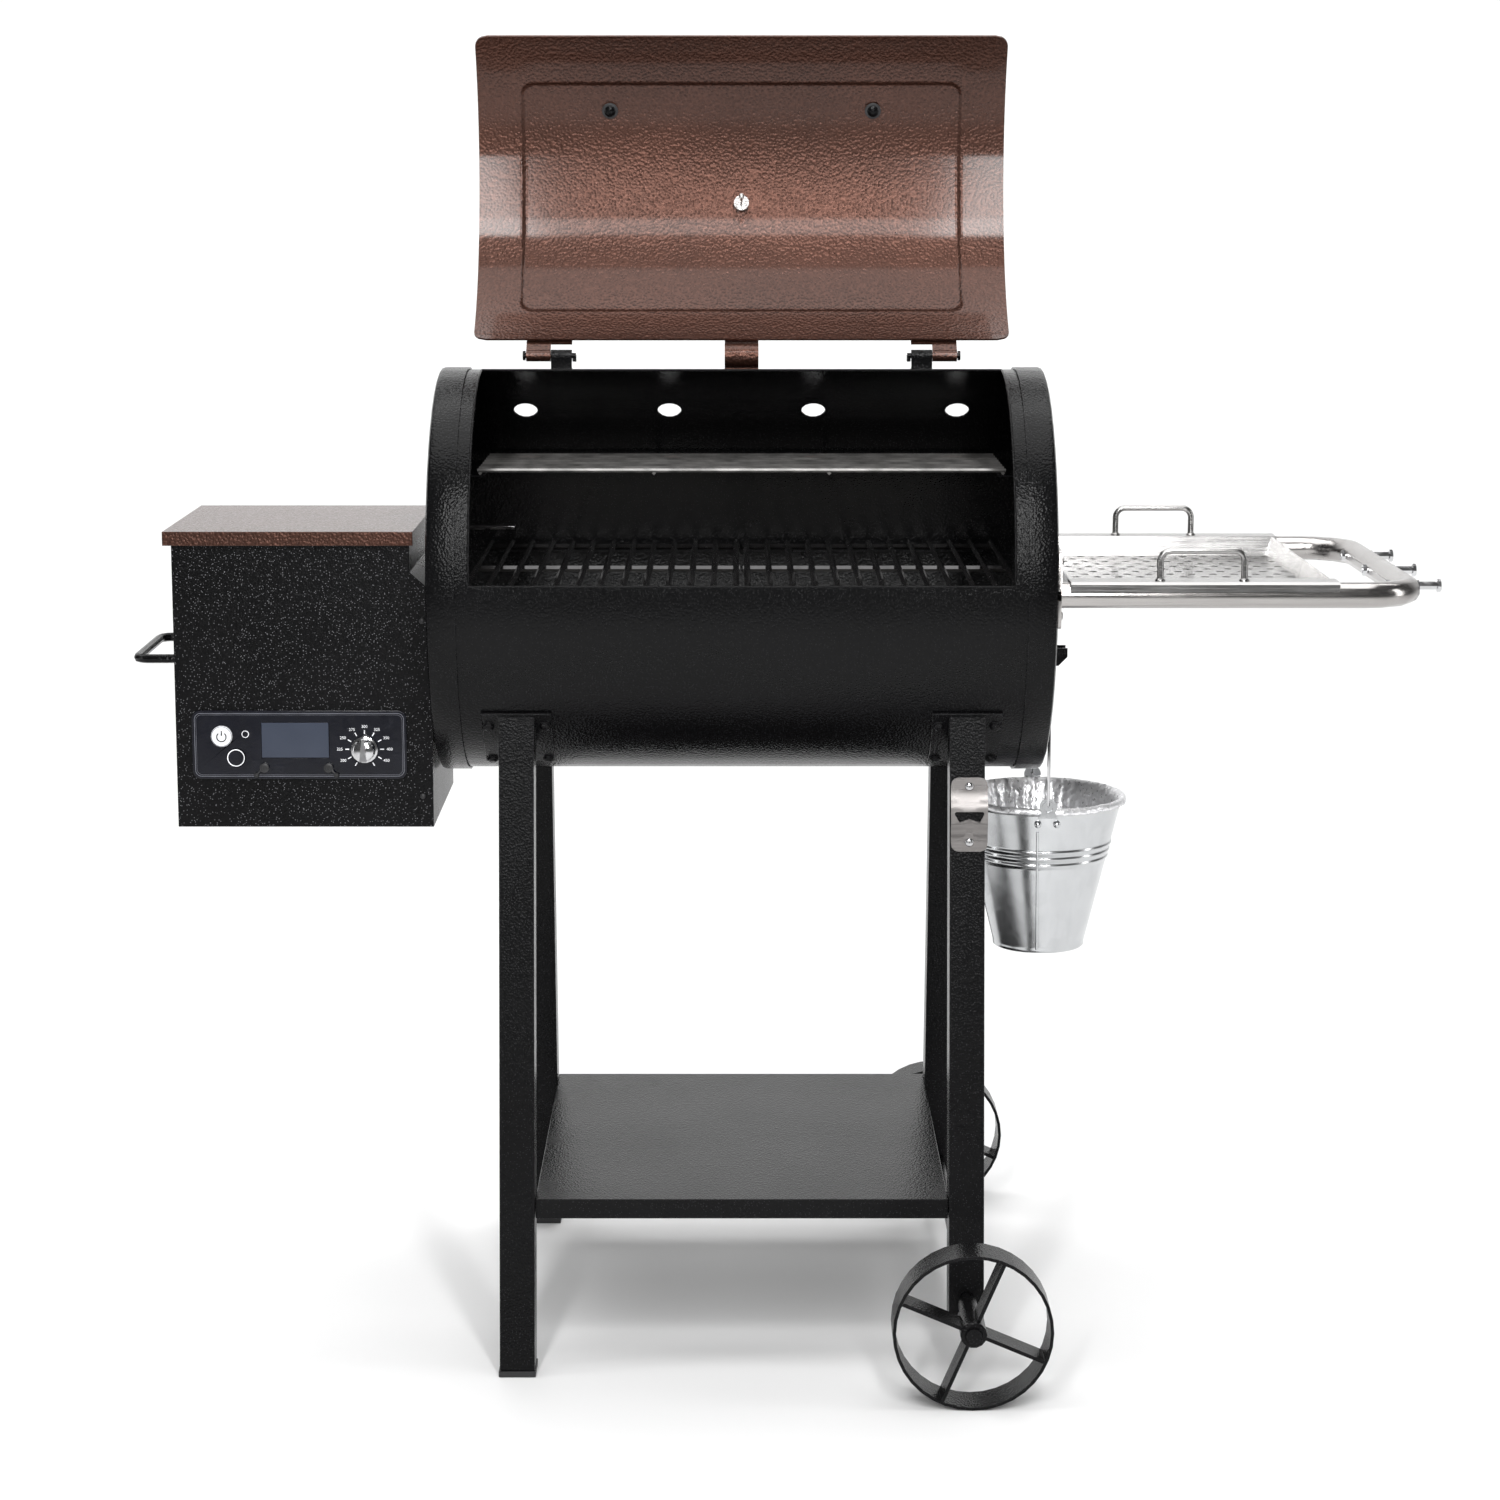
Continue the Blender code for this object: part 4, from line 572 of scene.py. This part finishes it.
def lid():
    turn = degrees(1 / LID_INNER_R)
    across = spread(-LID_HALF, LID_HALF, (-PANEL_HALF, PANEL_HALF, -LID_HALF, LID_HALF), 0.010, 0.0016, 0.016)
    around = spread(LID_START, LID_END, (PANEL_START, PANEL_END, LID_START, LID_END),
                    0.009 * turn, 0.0016 * turn, 0.016 * turn)
    middle = (PANEL_START + PANEL_END) / 2
    half_around = radians(PANEL_END - PANEL_START) / 2 * LID_INNER_R

    def pressed(x, angle):
        a = abs(x) - PANEL_HALF + PANEL_CORNER
        b = abs(radians(angle - middle)) * LID_INNER_R - half_around + PANEL_CORNER
        distance = sqrt(max(a, 0) ** 2 + max(b, 0) ** 2) + min(max(a, b), 0) - PANEL_CORNER
        inside = min(1, max(0, 0.5 - distance / 0.0036))
        return PRESSED * inside * inside * (3 - 2 * inside)

    def squeeze(angle):
        edge = min(angle - LID_START, LID_END - angle) / turn
        if edge >= LID_CORNER:
            return 1.0
        return (LID_HALF - LID_CORNER + sqrt(max(0.0, LID_CORNER ** 2 - (LID_CORNER - edge) ** 2))) / LID_HALF

    points, faces = [], []
    for level in (0, LID_SHEET):
        for angle in around:
            for x in across:
                place = x * squeeze(angle)
                points.append(opened(on_barrel(place, LID_INNER_R + level + pressed(place, angle), angle)))
    rows, columns = len(around), len(across)
    layer = rows * columns
    for r in range(rows - 1):
        for c in range(columns - 1):
            i = r * columns + c
            faces.append((i, i + 1, i + columns + 1, i + columns))
            faces.append((layer + i, layer + i + columns, layer + i + columns + 1, layer + i + 1))
    loop = [c for c in range(columns)] + [r * columns + columns - 1 for r in range(1, rows)]
    loop += [(rows - 1) * columns + c for c in range(columns - 2, -1, -1)]
    loop += [r * columns for r in range(rows - 2, 0, -1)]
    for i, j in zip(loop, loop[1:] + loop[:1]):
        faces.append((i, layer + i, layer + j, j))
    make("lid_shell", (points, faces), bronze, "lid", ("main_lid",), 50)


def lid_fasteners():
    """The ends of the lid handle's bolts and their washers, on the lid's inside."""
    shapes = []
    for x in (-0.135, 0.135):
        base, tip = on_barrel(x, LID_INNER_R - 0.0002, 20), on_barrel(x, 0.19, 20)
        inward = Vector(opened(tip)) - Vector(opened(base))
        shapes.append(turned([(0, 0), (0.0082, 0), (0.0082, 0.0012), (0.0065, 0.0016), (0, 0.0016)],
                             opened(base), inward, 24))
    make("lid_washers", joined(*shapes), plastic, "lid")


def thermometer_face():
    """White dial behind the glass with a scale of ticks and plain numbers."""
    outwards = Vector(opened(on_barrel(0, 1, THERMOMETER_ANGLE)))
    outwards -= Vector(opened(on_barrel(0, 0, THERMOMETER_ANGLE)))
    base = Vector(opened(on_barrel(0, 0.2087, THERMOMETER_ANGLE)))
    make("thermometer_dial", turned([(0, 0), (0.0292, 0), (0.0292, 0.0003), (0, 0.0003)], base, outwards, 48),
         white, "lid")
    up = Vector(opened(on_barrel(0, 0.2087, THERMOMETER_ANGLE + 1))) - base
    up.normalize()
    side = up.cross(outwards).normalized()
    frame_turn = Matrix((side, up, outwards)).transposed().to_4x4()
    shapes = []
    for k in range(28):
        turn = radians(-135 + 10 * k)
        long_tick = k % 3 == 0
        way = up * cos(turn) + side * sin(turn)
        wide = way.cross(outwards) * (0.0006 if long_tick else 0.0003)
        low = 0.0200 if long_tick else 0.0222
        near, far = base + way * low, base + way * 0.0262
        corners = [near - wide, far - wide, far + wide, near + wide]
        lift = outwards.normalized()
        ring_points = [tuple(p + lift * h) for h in (0.00025, 0.0006) for p in corners]
        shapes.append((ring_points, BOX_FACES))
    make("thermometer_scale", joined(*shapes), plastic, "lid")
    for k in range(1, 10, 2):
        turn = radians(-135 + 30 * k)
        place = base + (up * cos(turn) + side * sin(turn)) * 0.0158 + outwards.normalized() * 0.0004
        label(f"thermometer_number_{k}", str(50 * (k + 1)), place, frame_turn, 0.0048, plastic, "lid")


def label(name, words, place, turn, size, material, body):
    """A plain number, raised a hair from its surface."""
    curve = bpy.data.curves.new(name, "FONT")
    curve.body = words
    curve.size = size
    curve.align_x, curve.align_y = "CENTER", "CENTER"
    curve.extrude = 0.00008
    curve.resolution_u = 3
    thing = bpy.data.objects.new(name, curve)
    bpy.context.scene.collection.objects.link(thing)
    thing.matrix_world = Matrix.Translation(place) @ turn
    curve.materials.append(material)
    bpy.context.view_layer.update()
    solid = bpy.data.meshes.new_from_object(thing.evaluated_get(bpy.context.evaluated_depsgraph_get()))
    solid.transform(thing.matrix_world)
    bpy.data.objects.remove(thing)
    letters = bpy.data.objects.new(name, solid)
    bpy.context.scene.collection.objects.link(letters)
    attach(letters, body)


# ---------------------------------------------------------------- barrel
def opening_rim():
    """The rolled edge of the barrel's opening, with its thin glint."""
    half, low, high, radius = 0.2595, 2.2, 90.0, 0.1992
    line = [on_barrel(-half + 2 * half * k / 24, radius, low) for k in range(25)]
    line += [on_barrel(half, radius, low + (high - low) * k / 32) for k in range(1, 32)]
    line += [on_barrel(half - 2 * half * k / 24, radius, high) for k in range(25)]
    line += [on_barrel(-half, radius, high - (high - low) * k / 32) for k in range(1, 32)]
    line = [(p.x + SHIFT, p.y, p.z) for p in line]
    make("opening_rim", tube(line, 0.0013, 10, closed=True), rim_gloss, "grill", angle=60)


def screws(name, places, direction, radius, material, body):
    """Pan-head screws with a cross recess, along one direction."""
    way = Vector(direction).normalized()
    up = way.orthogonal().normalized()
    side = way.cross(up)
    shapes = []
    for place in places:
        head = [(0, 0), (radius, 0), (radius, radius * 0.25), (radius * 0.85, radius * 0.5),
                (radius * 0.55, radius * 0.62), (0, radius * 0.66)]
        shapes.append(turned(head, place, way, 20))
        centre = Vector(place) + way * radius * 0.66
        for a, b in ((up, side), (side, up)):
            corners = [centre + a * s * radius * 0.5 + b * t * radius * 0.09
                       for s, t in ((-1, -1), (1, -1), (1, 1), (-1, 1))]
            points = [tuple(p + way * h) for h in (-0.0002, 0.00012) for p in corners]
            shapes.append((points, BOX_FACES))
    make(name, joined(*shapes), material, body)


# ---------------------------------------------------------------- control panel
def panel_print():
    x0, x1, z0, z1 = PANEL
    back, front = FRONT_Y + 0.0002, FRONT_Y - 0.00015
    bands = []
    for inset, width in ((0.0024, 0.0004), (0.0040, 0.0002)):
        outer = rounded_rectangle(x0 + inset, x1 - inset, z0 + inset, z1 - inset, 0.0075 - inset / 2)
        deep = inset + width
        inner = rounded_rectangle(x0 + deep, x1 - deep, z0 + deep, z1 - deep, 0.0075 - inset / 2 - width)
        bands.append(ribbon(outer, inner, back, front))
    make("panel_border", joined(*bands), grey_print, "grill")
    x, z = LAMP
    make("lamp_ring", ring(x, z, 0.0036, 0.0011, back, front - 0.0002), white, "grill")
    ticks = []
    for k in range(11):
        turn = radians(-150 + 30 * k)
        a, b = sin(turn), cos(turn)
        low, high, half = 0.0152, 0.0190, 0.0005
        outline = [(DIAL[0] + a * r + b * s * half, DIAL[1] + b * r - a * s * half)
                   for r, s in ((low, -1), (high, -1), (high, 1), (low, 1))]
        ticks.append(prism(outline, back, front))
    make("dial_ticks", joined(*ticks), white, "grill")
    facing = Matrix.Rotation(radians(90), 4, "X")
    for k, words in enumerate(("200", "225", "250", "275", "300", "325", "350", "400", "450"), 1):
        turn = radians(-150 + 30 * k)
        place = Vector((DIAL[0] + sin(turn) * 0.0245, FRONT_Y - 0.0001, DIAL[1] + cos(turn) * 0.0225))
        label(f"dial_number_{k}", words, place, facing, 0.0040, white, "grill")


def button_marks():
    x, z, radius = POWER
    face = -0.1174
    arc = [(x + 0.0046 * sin(radians(a)), face - 0.00005, z - 0.0004 + 0.0046 * cos(radians(a)))
           for a in range(40, 321, 14)]
    stem = [(x, face - 0.00005, z + 0.0008), (x, face - 0.00005, z + 0.0058)]
    make("power_symbol", joined(tube(arc, 0.0006, 8), tube(stem, 0.0006, 8)), plastic,
         "power_button")
    make("power_edge", ring(x, z, radius - 0.0005, 0.0006, face + 0.0002, face - 0.0001), grey_print,
         "power_button")
    x, z, radius = PRIME
    make("prime_ring", ring(x, z, radius - 0.0004, 0.0009, face + 0.0002, face - 0.0001), white,
         "prime_button")


def jack_caps():
    """Soft caps that hang beside the two probe jacks."""
    shapes = []
    for x, way in ((-0.4684 + SHIFT, -1), (-0.4055 + SHIFT, 1)):
        z = AXIS - 0.1823
        cup = [(0, 0), (0.0046, 0), (0.0046, 0.0006), (0.0036, 0.0012), (0.0022, 0.0012),
               (0.0022, 0.0005), (0, 0.0005)]
        shapes.append(turned(cup, (x, FRONT_Y - 0.0026, z), (0, -1, 0), 24))
        strap = [(x + way * 0.0035, FRONT_Y - 0.0030, z - 0.0020),
                 (x + way * 0.0055, FRONT_Y - 0.0034, z - 0.0045),
                 (x + way * 0.0070, FRONT_Y - 0.0032, z - 0.0062)]
        shapes.append(tube(strap, 0.0008, 8))
        shapes.append(turned([(0, 0), (0.0024, 0), (0.0026, 0.0008), (0.0018, 0.0022), (0, 0.0024)],
                             (x + way * 0.0078, FRONT_Y - 0.0012, z - 0.0074), (0, -1, 0), 18))
    make("jack_caps", joined(*shapes), plastic, "grill")


# ---------------------------------------------------------------- serving tray
def perforated(x0, x1, y0, y1, z, sheet, pitch_x, pitch_y):
    """A flat sheet with staggered rows of holes punched through it."""
    nx, ny = max(1, round((x1 - x0) / pitch_x)), max(1, round((y1 - y0) / pitch_y))
    step_x, step_y = (x1 - x0) / nx, (y1 - y0) / ny
    points, faces, known = [], [], {}

    def point(x, y, level):
        key = (round(x * 1e6), round(y * 1e6), level)
        if key not in known:
            known[key] = len(points)
            points.append((x, y, z - (sheet if level else 0)))
        return known[key]

    hole = [(PUNCH_R * cos(radians(a)), PUNCH_R * sin(radians(a))) for a in range(0, 360, 45)]
    for i in range(nx):
        for j in range(ny):
            a, b = x0 + i * step_x, y0 + j * step_y
            cx, cy = a + step_x / 2, b + step_y / 2
            edge = [(a + step_x, cy), (a + step_x, b + step_y), (cx, b + step_y), (a, b + step_y),
                    (a, cy), (a, b), (cx, b), (a + step_x, b)]
            punched = (i + j) % 2 == 0
            for level in (0, 1):
                if not punched:
                    face = [point(x, y, level) for x, y in edge]
                    faces.append(tuple(face if level == 0 else face[::-1]))
                    continue
                for k in range(8):
                    m = (k + 1) % 8
                    face = [point(*edge[k], level), point(*edge[m], level),
                            point(cx + hole[m][0], cy + hole[m][1], level),
                            point(cx + hole[k][0], cy + hole[k][1], level)]
                    faces.append(tuple(face if level == 0 else face[::-1]))
            if punched:
                rim = [[point(cx + p, cy + q, level) for p, q in hole] for level in (0, 1)]
                faces += [(rim[0][k], rim[0][(k + 1) % 8], rim[1][(k + 1) % 8], rim[1][k]) for k in range(8)]
    return points, faces


def strip(line, thickness):
    """An open line of (a, b) points given a thickness, as a closed outline."""
    normals = []
    for i in range(len(line)):
        a, b = line[max(i - 1, 0)], line[min(i + 1, len(line) - 1)]
        way = Vector((b[0] - a[0], b[1] - a[1])).normalized()
        normals.append((way.y, -way.x))
    half = thickness / 2
    return ([(p[0] + n[0] * half, p[1] + n[1] * half) for p, n in zip(line, normals)]
            + [(p[0] - n[0] * half, p[1] - n[1] * half) for p, n in reversed(list(zip(line, normals)))])


def tray():
    sheet, wall, foot, lip = 0.0010, 0.1700, 0.1640, 0.1992
    floor_z = TRAY_FLOOR_Z + sheet / 2
    parts = [perforated(TRAY_LEFT + 0.008, TRAY_RIGHT - 0.0090, -foot, foot, floor_z, sheet, 0.0110, 0.0205)]
    for side in (-1, 1):
        line = [(side * foot, TRAY_FLOOR_Z), (side * wall, TRAY_RIM_Z), (side * (lip - 0.002), TRAY_RIM_Z),
                (side * lip, TRAY_RIM_Z - 0.002), (side * lip, AXIS + 0.0025)]
        parts.append(prism(strip(line, sheet), TRAY_LEFT, TRAY_RIGHT, "X"))
        near, far = HANDLE_XS
        corners = [(x, side * HANDLE_Y, TRAY_RIM_Z + lift)
                   for x, lift in ((near, 0.0), (near, 0.029), (far, 0.029), (far, 0.0))]
        parts.append(tube(bent(corners, 0.010, 8), 0.0032, 16))
        for x in HANDLE_XS:
            parts.append(turned([(0, 0), (0.0052, 0), (0.0048, 0.0010), (0.0036, 0.0022), (0, 0.0022)],
                                (x, side * HANDLE_Y, TRAY_RIM_Z + 0.0004), (0, 0, 1), 20))
    ends = ((TRAY_RIGHT - 0.0090, TRAY_RIGHT - 0.0045), (TRAY_LEFT + 0.0080, TRAY_LEFT + 0.0008))
    for near, far in ends:
        slope = strip([(near, TRAY_FLOOR_Z), (far, TRAY_RIM_Z)], sheet)
        parts.append(prism(slope, -wall + 0.0004, wall - 0.0004))
    make("tray_pan", joined(*parts), tray_steel, "serving_tray", ("serving_tray",), 30)


# ---------------------------------------------------------------- bucket
def bucket_radius(z):
    return FOOT_R + (RIM_R - FOOT_R) * (z - FOOT_Z) / (RIM_Z - FOOT_Z)


def bucket():
    """Drawn sheet bucket: rolled rim, three ridges, a recessed foot, a folded seam and riveted ears."""
    outer = [(0, FOOT_Z + 0.0030), (FOOT_R - 0.004, FOOT_Z + 0.0030), (FOOT_R - 0.0032, FOOT_Z),
             (FOOT_R, FOOT_Z), (FOOT_R + 0.0010, FOOT_Z + 0.0010), (FOOT_R + 0.0011, FOOT_Z + 0.0035)]
    steps = 130
    for k in range(4, steps - 3):
        z = FOOT_Z + (RIM_Z - FOOT_Z) * k / steps
        below = RIM_Z - z
        lift = sum(max(0.0, 1 - ((below - mark) / 0.0026) ** 2) for mark in (0.0455, 0.0525, 0.0595))
        outer.append((bucket_radius(z) + 0.0013 * lift, z))
    bead = [(RIM_R + 0.0008 + 0.0016 * cos(radians(a)), RIM_Z - 0.0010 + 0.0016 * sin(radians(a)))
            for a in range(-80, 181, 20)]
    inner = [(RIM_R - 0.0012, RIM_Z - 0.004), (FOOT_R + 0.0006, FOOT_Z + 0.0045), (0, FOOT_Z + 0.0042)]
    parts = [turned(outer + bead + inner, BUCKET, (0, 0, 1), 96)]
    seam_turn = radians(-97)
    seam = []
    for z in (FOOT_Z + 0.004, RIM_Z - 0.062, RIM_Z - 0.060, RIM_Z - 0.044, RIM_Z - 0.022):
        reach = bucket_radius(z) + 0.0003
        seam.append((BUCKET.x + reach * cos(seam_turn), reach * sin(seam_turn), z))
    parts.append(tube(seam, 0.0013, 8))
    make("bucket_wall", joined(*parts), zinc, "bucket", ("grease_bucket",), 45)
    ears = []
    for side in (-1, 1):
        ears.append(prism(ear_outline(), side * (RIM_R + 0.0032), side * (RIM_R + 0.0044)))
        for dx in (-0.0095, 0.0095):
            z = RIM_Z - 0.0135
            place = (BUCKET.x + dx, side * (bucket_radius(z) + 0.0006), z)
            ears.append(turned([(0, 0), (0.0036, 0), (0.0034, 0.0012), (0.0022, 0.0024), (0, 0.0030)],
                               place, (0, side, 0.2), 20))
        ears.append(turned([(0.0048, 0), (0.0058, 0), (0.0058, 0.0010), (0.0048, 0.0010)],
                           (BUCKET.x, side * (RIM_R + 0.0044), EAR_Z), (0, side, 0), 24))
    make("bucket_ears", joined(*ears), zinc, "bucket")


def ear_outline():
    """Round eye round the bail's hole on a short neck that comes up over the rim."""
    x = BUCKET.x
    eye = [(x + 0.0088 * cos(radians(a)), EAR_Z + 0.0088 * sin(radians(a))) for a in range(-40, 221, 20)]
    return [(x + 0.0100, RIM_Z - 0.0060)] + eye + [(x - 0.0100, RIM_Z - 0.0060)]


def liner():
    """Crinkled foil cup inside the bucket, with its pleated lip folded over the rim."""
    segments = 180
    levels = [(0.0, FOOT_Z + 0.0075, 0.0), (FOOT_R - 0.006, FOOT_Z + 0.0075, 0.2)]
    for k in range(1, 15):
        z = FOOT_Z + 0.0085 + (RIM_Z - FOOT_Z - 0.0095) * k / 14
        levels.append((bucket_radius(z) - 0.0036, z, 0.6 + 0.6 * k / 14))
    levels += [(RIM_R + 0.0002, RIM_Z + 0.0028, 0.7), (RIM_R + 0.0024, RIM_Z + 0.0022, 0.8),
               (RIM_R + 0.0036, RIM_Z - 0.0006, 1.0), (RIM_R + 0.0036, RIM_Z - 0.0034, 1.2)]
    points, faces = [(BUCKET.x, 0, levels[0][1])], []
    for radius, z, crumple in levels[1:]:
        for k in range(segments):
            turn = 2 * pi * k / segments
            fold = noise.noise(Vector((cos(turn) * 9, sin(turn) * 9, z * 60)))
            pleat = (0.5 * sin(turn * 45 + 2 * fold) + 0.8 * fold) * 0.0012 * crumple
            wave = noise.noise(Vector((cos(turn) * 5, sin(turn) * 5, 3.0))) * 0.0016 * (crumple - 0.2)
            inside = z < RIM_Z - 0.004 and radius < RIM_R
            reach = min(radius + pleat, bucket_radius(z) - 0.0018) if inside else radius + abs(pleat)
            points.append((BUCKET.x + reach * cos(turn), reach * sin(turn), z + max(wave, -0.0008)))
    rows = len(levels) - 1
    faces += [(0, 1 + k, 1 + (k + 1) % segments) for k in range(segments)]
    for r in range(rows - 1):
        for k in range(segments):
            m = (k + 1) % segments
            near, far = 1 + r * segments, 1 + (r + 1) * segments
            faces.append((near + k, far + k, far + m, near + m))
    cup = make("foil_cup", (points, faces), foil, "bucket", ("foil_liner",), 60)
    skin = cup.modifiers.new("sheet", "SOLIDIFY")
    skin.thickness = 0.0003
    skin.offset = 0


# ---------------------------------------------------------------- bottle opener
OPENER_SHEET = 0.0016


def opener():
    """Pressed steel plate on the front right leg: a bent-out mouth with a tooth, and two screws."""
    (x0, y0, z0), (x1, y1, z1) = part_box("bottle_opener")
    middle = (x0 + x1) / 2
    back_low, back_high = y0 + 0.0060, y0 + 0.0155
    outline = rounded_rectangle(x0, x1, z0, z1, 0.0075, 6)
    slot_z, slot_half = (z0 + z1) / 2 - 0.0022, 0.0142
    mouth = [(middle + slot_half * a, slot_z + 0.0056 * b) for a, b in MOUTH]
    steps, layers = 64, 7
    far, near = resampled(outline, steps), resampled(mouth, steps)
    points, faces = [], []
    for level in (0.0, OPENER_SHEET):
        for layer in range(layers + 1):
            mix = layer / layers
            for (xa, za), (xb, zb) in zip(far, near):
                x, z = xa + (xb - xa) * mix, za + (zb - za) * mix
                points.append((x, plate_y(z, z0, z1, back_low, back_high, y0) - level, z))
    side = (layers + 1) * steps
    for k in range(steps):
        m = (k + 1) % steps
        for layer in range(layers):
            low, high = layer * steps, (layer + 1) * steps
            faces.append((low + k, high + k, high + m, low + m))
            faces.append((side + low + k, side + low + m, side + high + m, side + high + k))
        last = layers * steps
        faces.append((k, m, side + m, side + k))
        faces.append((last + k, side + last + k, side + last + m, last + m))
    make("opener_plate", (points, faces), steel_plate, "grill", ("bottle_opener",), 30)
    heads = [(middle, plate_y(z, z0, z1, back_low, back_high, y0) - OPENER_SHEET, z)
             for z in (z0 + 0.0092, z1 - 0.0085)]
    screws("opener_screws", heads, (0, -1, 0), 0.0042, chrome, "grill")


# the mouth's outline, as parts of its half width and half height round its middle
MOUTH = [(1.0, 1.0), (-1.0, 1.0), (-1.0, 0.55), (-0.66, -1.0), (-0.56, -0.95), (-0.38, -0.55), (-0.18, -0.32),
         (0.0, -0.25), (0.18, -0.32), (0.38, -0.55), (0.56, -0.95), (0.66, -1.0), (1.0, 0.55)]


def plate_y(z, z0, z1, low, high, front):
    """The plate's back follows the leg and steps out at the mouth."""
    along = (z - z0) / (z1 - z0)
    base = low + (high - low) * along
    out = min(1.0, max(0.0, 1 - abs(along - 0.5) / 0.24))
    return max(front + 0.0018, base - 0.0045 * min(1.0, out * 2.2))


def resampled(outline, count):
    """The same outline with evenly turned points round its middle, so that two outlines pair up."""
    cx = sum(p[0] for p in outline) / len(outline)
    cz = sum(p[1] for p in outline) / len(outline)
    found = []
    for k in range(count):
        turn = 2 * pi * k / count
        ray = Vector((cos(turn), sin(turn)))
        best = 0.0
        for a, b in zip(outline, outline[1:] + outline[:1]):
            edge = Vector((b[0] - a[0], b[1] - a[1]))
            away = Vector((a[0] - cx, a[1] - cz))
            cross = ray.x * edge.y - ray.y * edge.x
            if abs(cross) < 1e-12:
                continue
            t = (away.x * edge.y - away.y * edge.x) / cross
            u = (away.x * ray.y - away.y * ray.x) / cross
            if t > 0 and -1e-6 <= u <= 1 + 1e-6:
                best = max(best, t)
        found.append((cx + ray.x * best, cz + ray.y * best))
    return found


# ---------------------------------------------------------------- studio
def area_light(name, place, aim, width, height, power, tint=(1, 1, 1)):
    data = bpy.data.lights.new(name, "AREA")
    data.shape = "RECTANGLE"
    data.size, data.size_y = width, height
    data.energy = power
    data.color = tint
    light = bpy.data.objects.new(name, data)
    bpy.context.scene.collection.objects.link(light)
    light.location = place
    light.rotation_euler = (Vector(aim) - Vector(place)).to_track_quat("-Z", "Y").to_euler()
    return light


def studio():
    depth, height, half, bend = 4.0, 5.0, 9.0, 1.6
    line = [(-9.0, 0.0), (depth - bend, 0.0)]
    line += [(depth - bend + bend * sin(radians(a)), bend - bend * cos(radians(a))) for a in range(6, 91, 6)]
    line += [(depth, height)]
    points = [(x, y, z - 0.0002) for y, z in line for x in (-half, half)]
    faces = [(2 * i, 2 * i + 1, 2 * i + 3, 2 * i + 2) for i in range(len(line) - 1)]
    mesh = bpy.data.meshes.new("floor")
    mesh.from_pydata(points, [], faces)
    mesh.materials.append(pale_floor())
    floor = bpy.data.objects.new("floor", mesh)
    bpy.context.scene.collection.objects.link(floor)
    smooth(mesh, 60)
    bpy.context.scene.view_settings.view_transform = "Standard"
    world = bpy.data.worlds.new("studio")
    bpy.context.scene.world = world
    world.use_nodes = True
    sky = world.node_tree.nodes["Background"]
    sky.inputs["Color"].default_value = (1.0, 1.0, 1.0, 1)
    sky.inputs["Strength"].default_value = 0.10
    area_light("back_wall", (0, 1.9, 4.2), (0, 4.2, 1.2), 7.0, 1.5, 150)
    area_light("overhead", (0, 0.0, 3.4), (0, 0.1, 0), 3.4, 2.2, 70)
    area_light("left_strip", (-0.56, -2.5, 2.05), (-0.36, 0, 0.95), 0.20, 2.3, 38)
    area_light("right_strip", (0.47, -2.5, 2.05), (0.30, 0, 0.95), 0.20, 2.3, 38)
    area_light("left_side", (-2.8, -0.6, 1.2), (0, 0, 0.7), 0.5, 2.0, 16)
    area_light("right_side", (2.9, -0.6, 1.2), (0, 0, 0.7), 0.5, 2.0, 14)
    area_light("front_high", (0.0, -2.4, 3.0), (0, 0.1, 1.1), 1.4, 0.5, 18)


def camera():
    data = bpy.data.cameras.new("camera")
    data.sensor_width = 36.0
    data.lens = 77.79
    data.shift_x, data.shift_y = 0.0096, -0.0535
    data.clip_end = 60
    eye = bpy.data.objects.new("camera", data)
    eye.location = (SHIFT - 0.006, -3.2433, 1.1792)
    eye.rotation_euler = (radians(90 - 9.16), 0, 0)
    bpy.context.scene.collection.objects.link(eye)
    bpy.context.scene.camera = eye


camera()
studio()
dress_nodes()
lid()
lid_fasteners()
thermometer_face()
opening_rim()
screws("hopper_screws",
       [(-0.3122 + SHIFT, -0.1121, AXIS - 0.0376), (-0.3138 + SHIFT, -0.1121, AXIS - 0.2118)],
       (0, -1, 0), 0.0028, plastic, "grill")
panel_print()
button_marks()
jack_caps()
tray()
bucket()
liner()
opener()
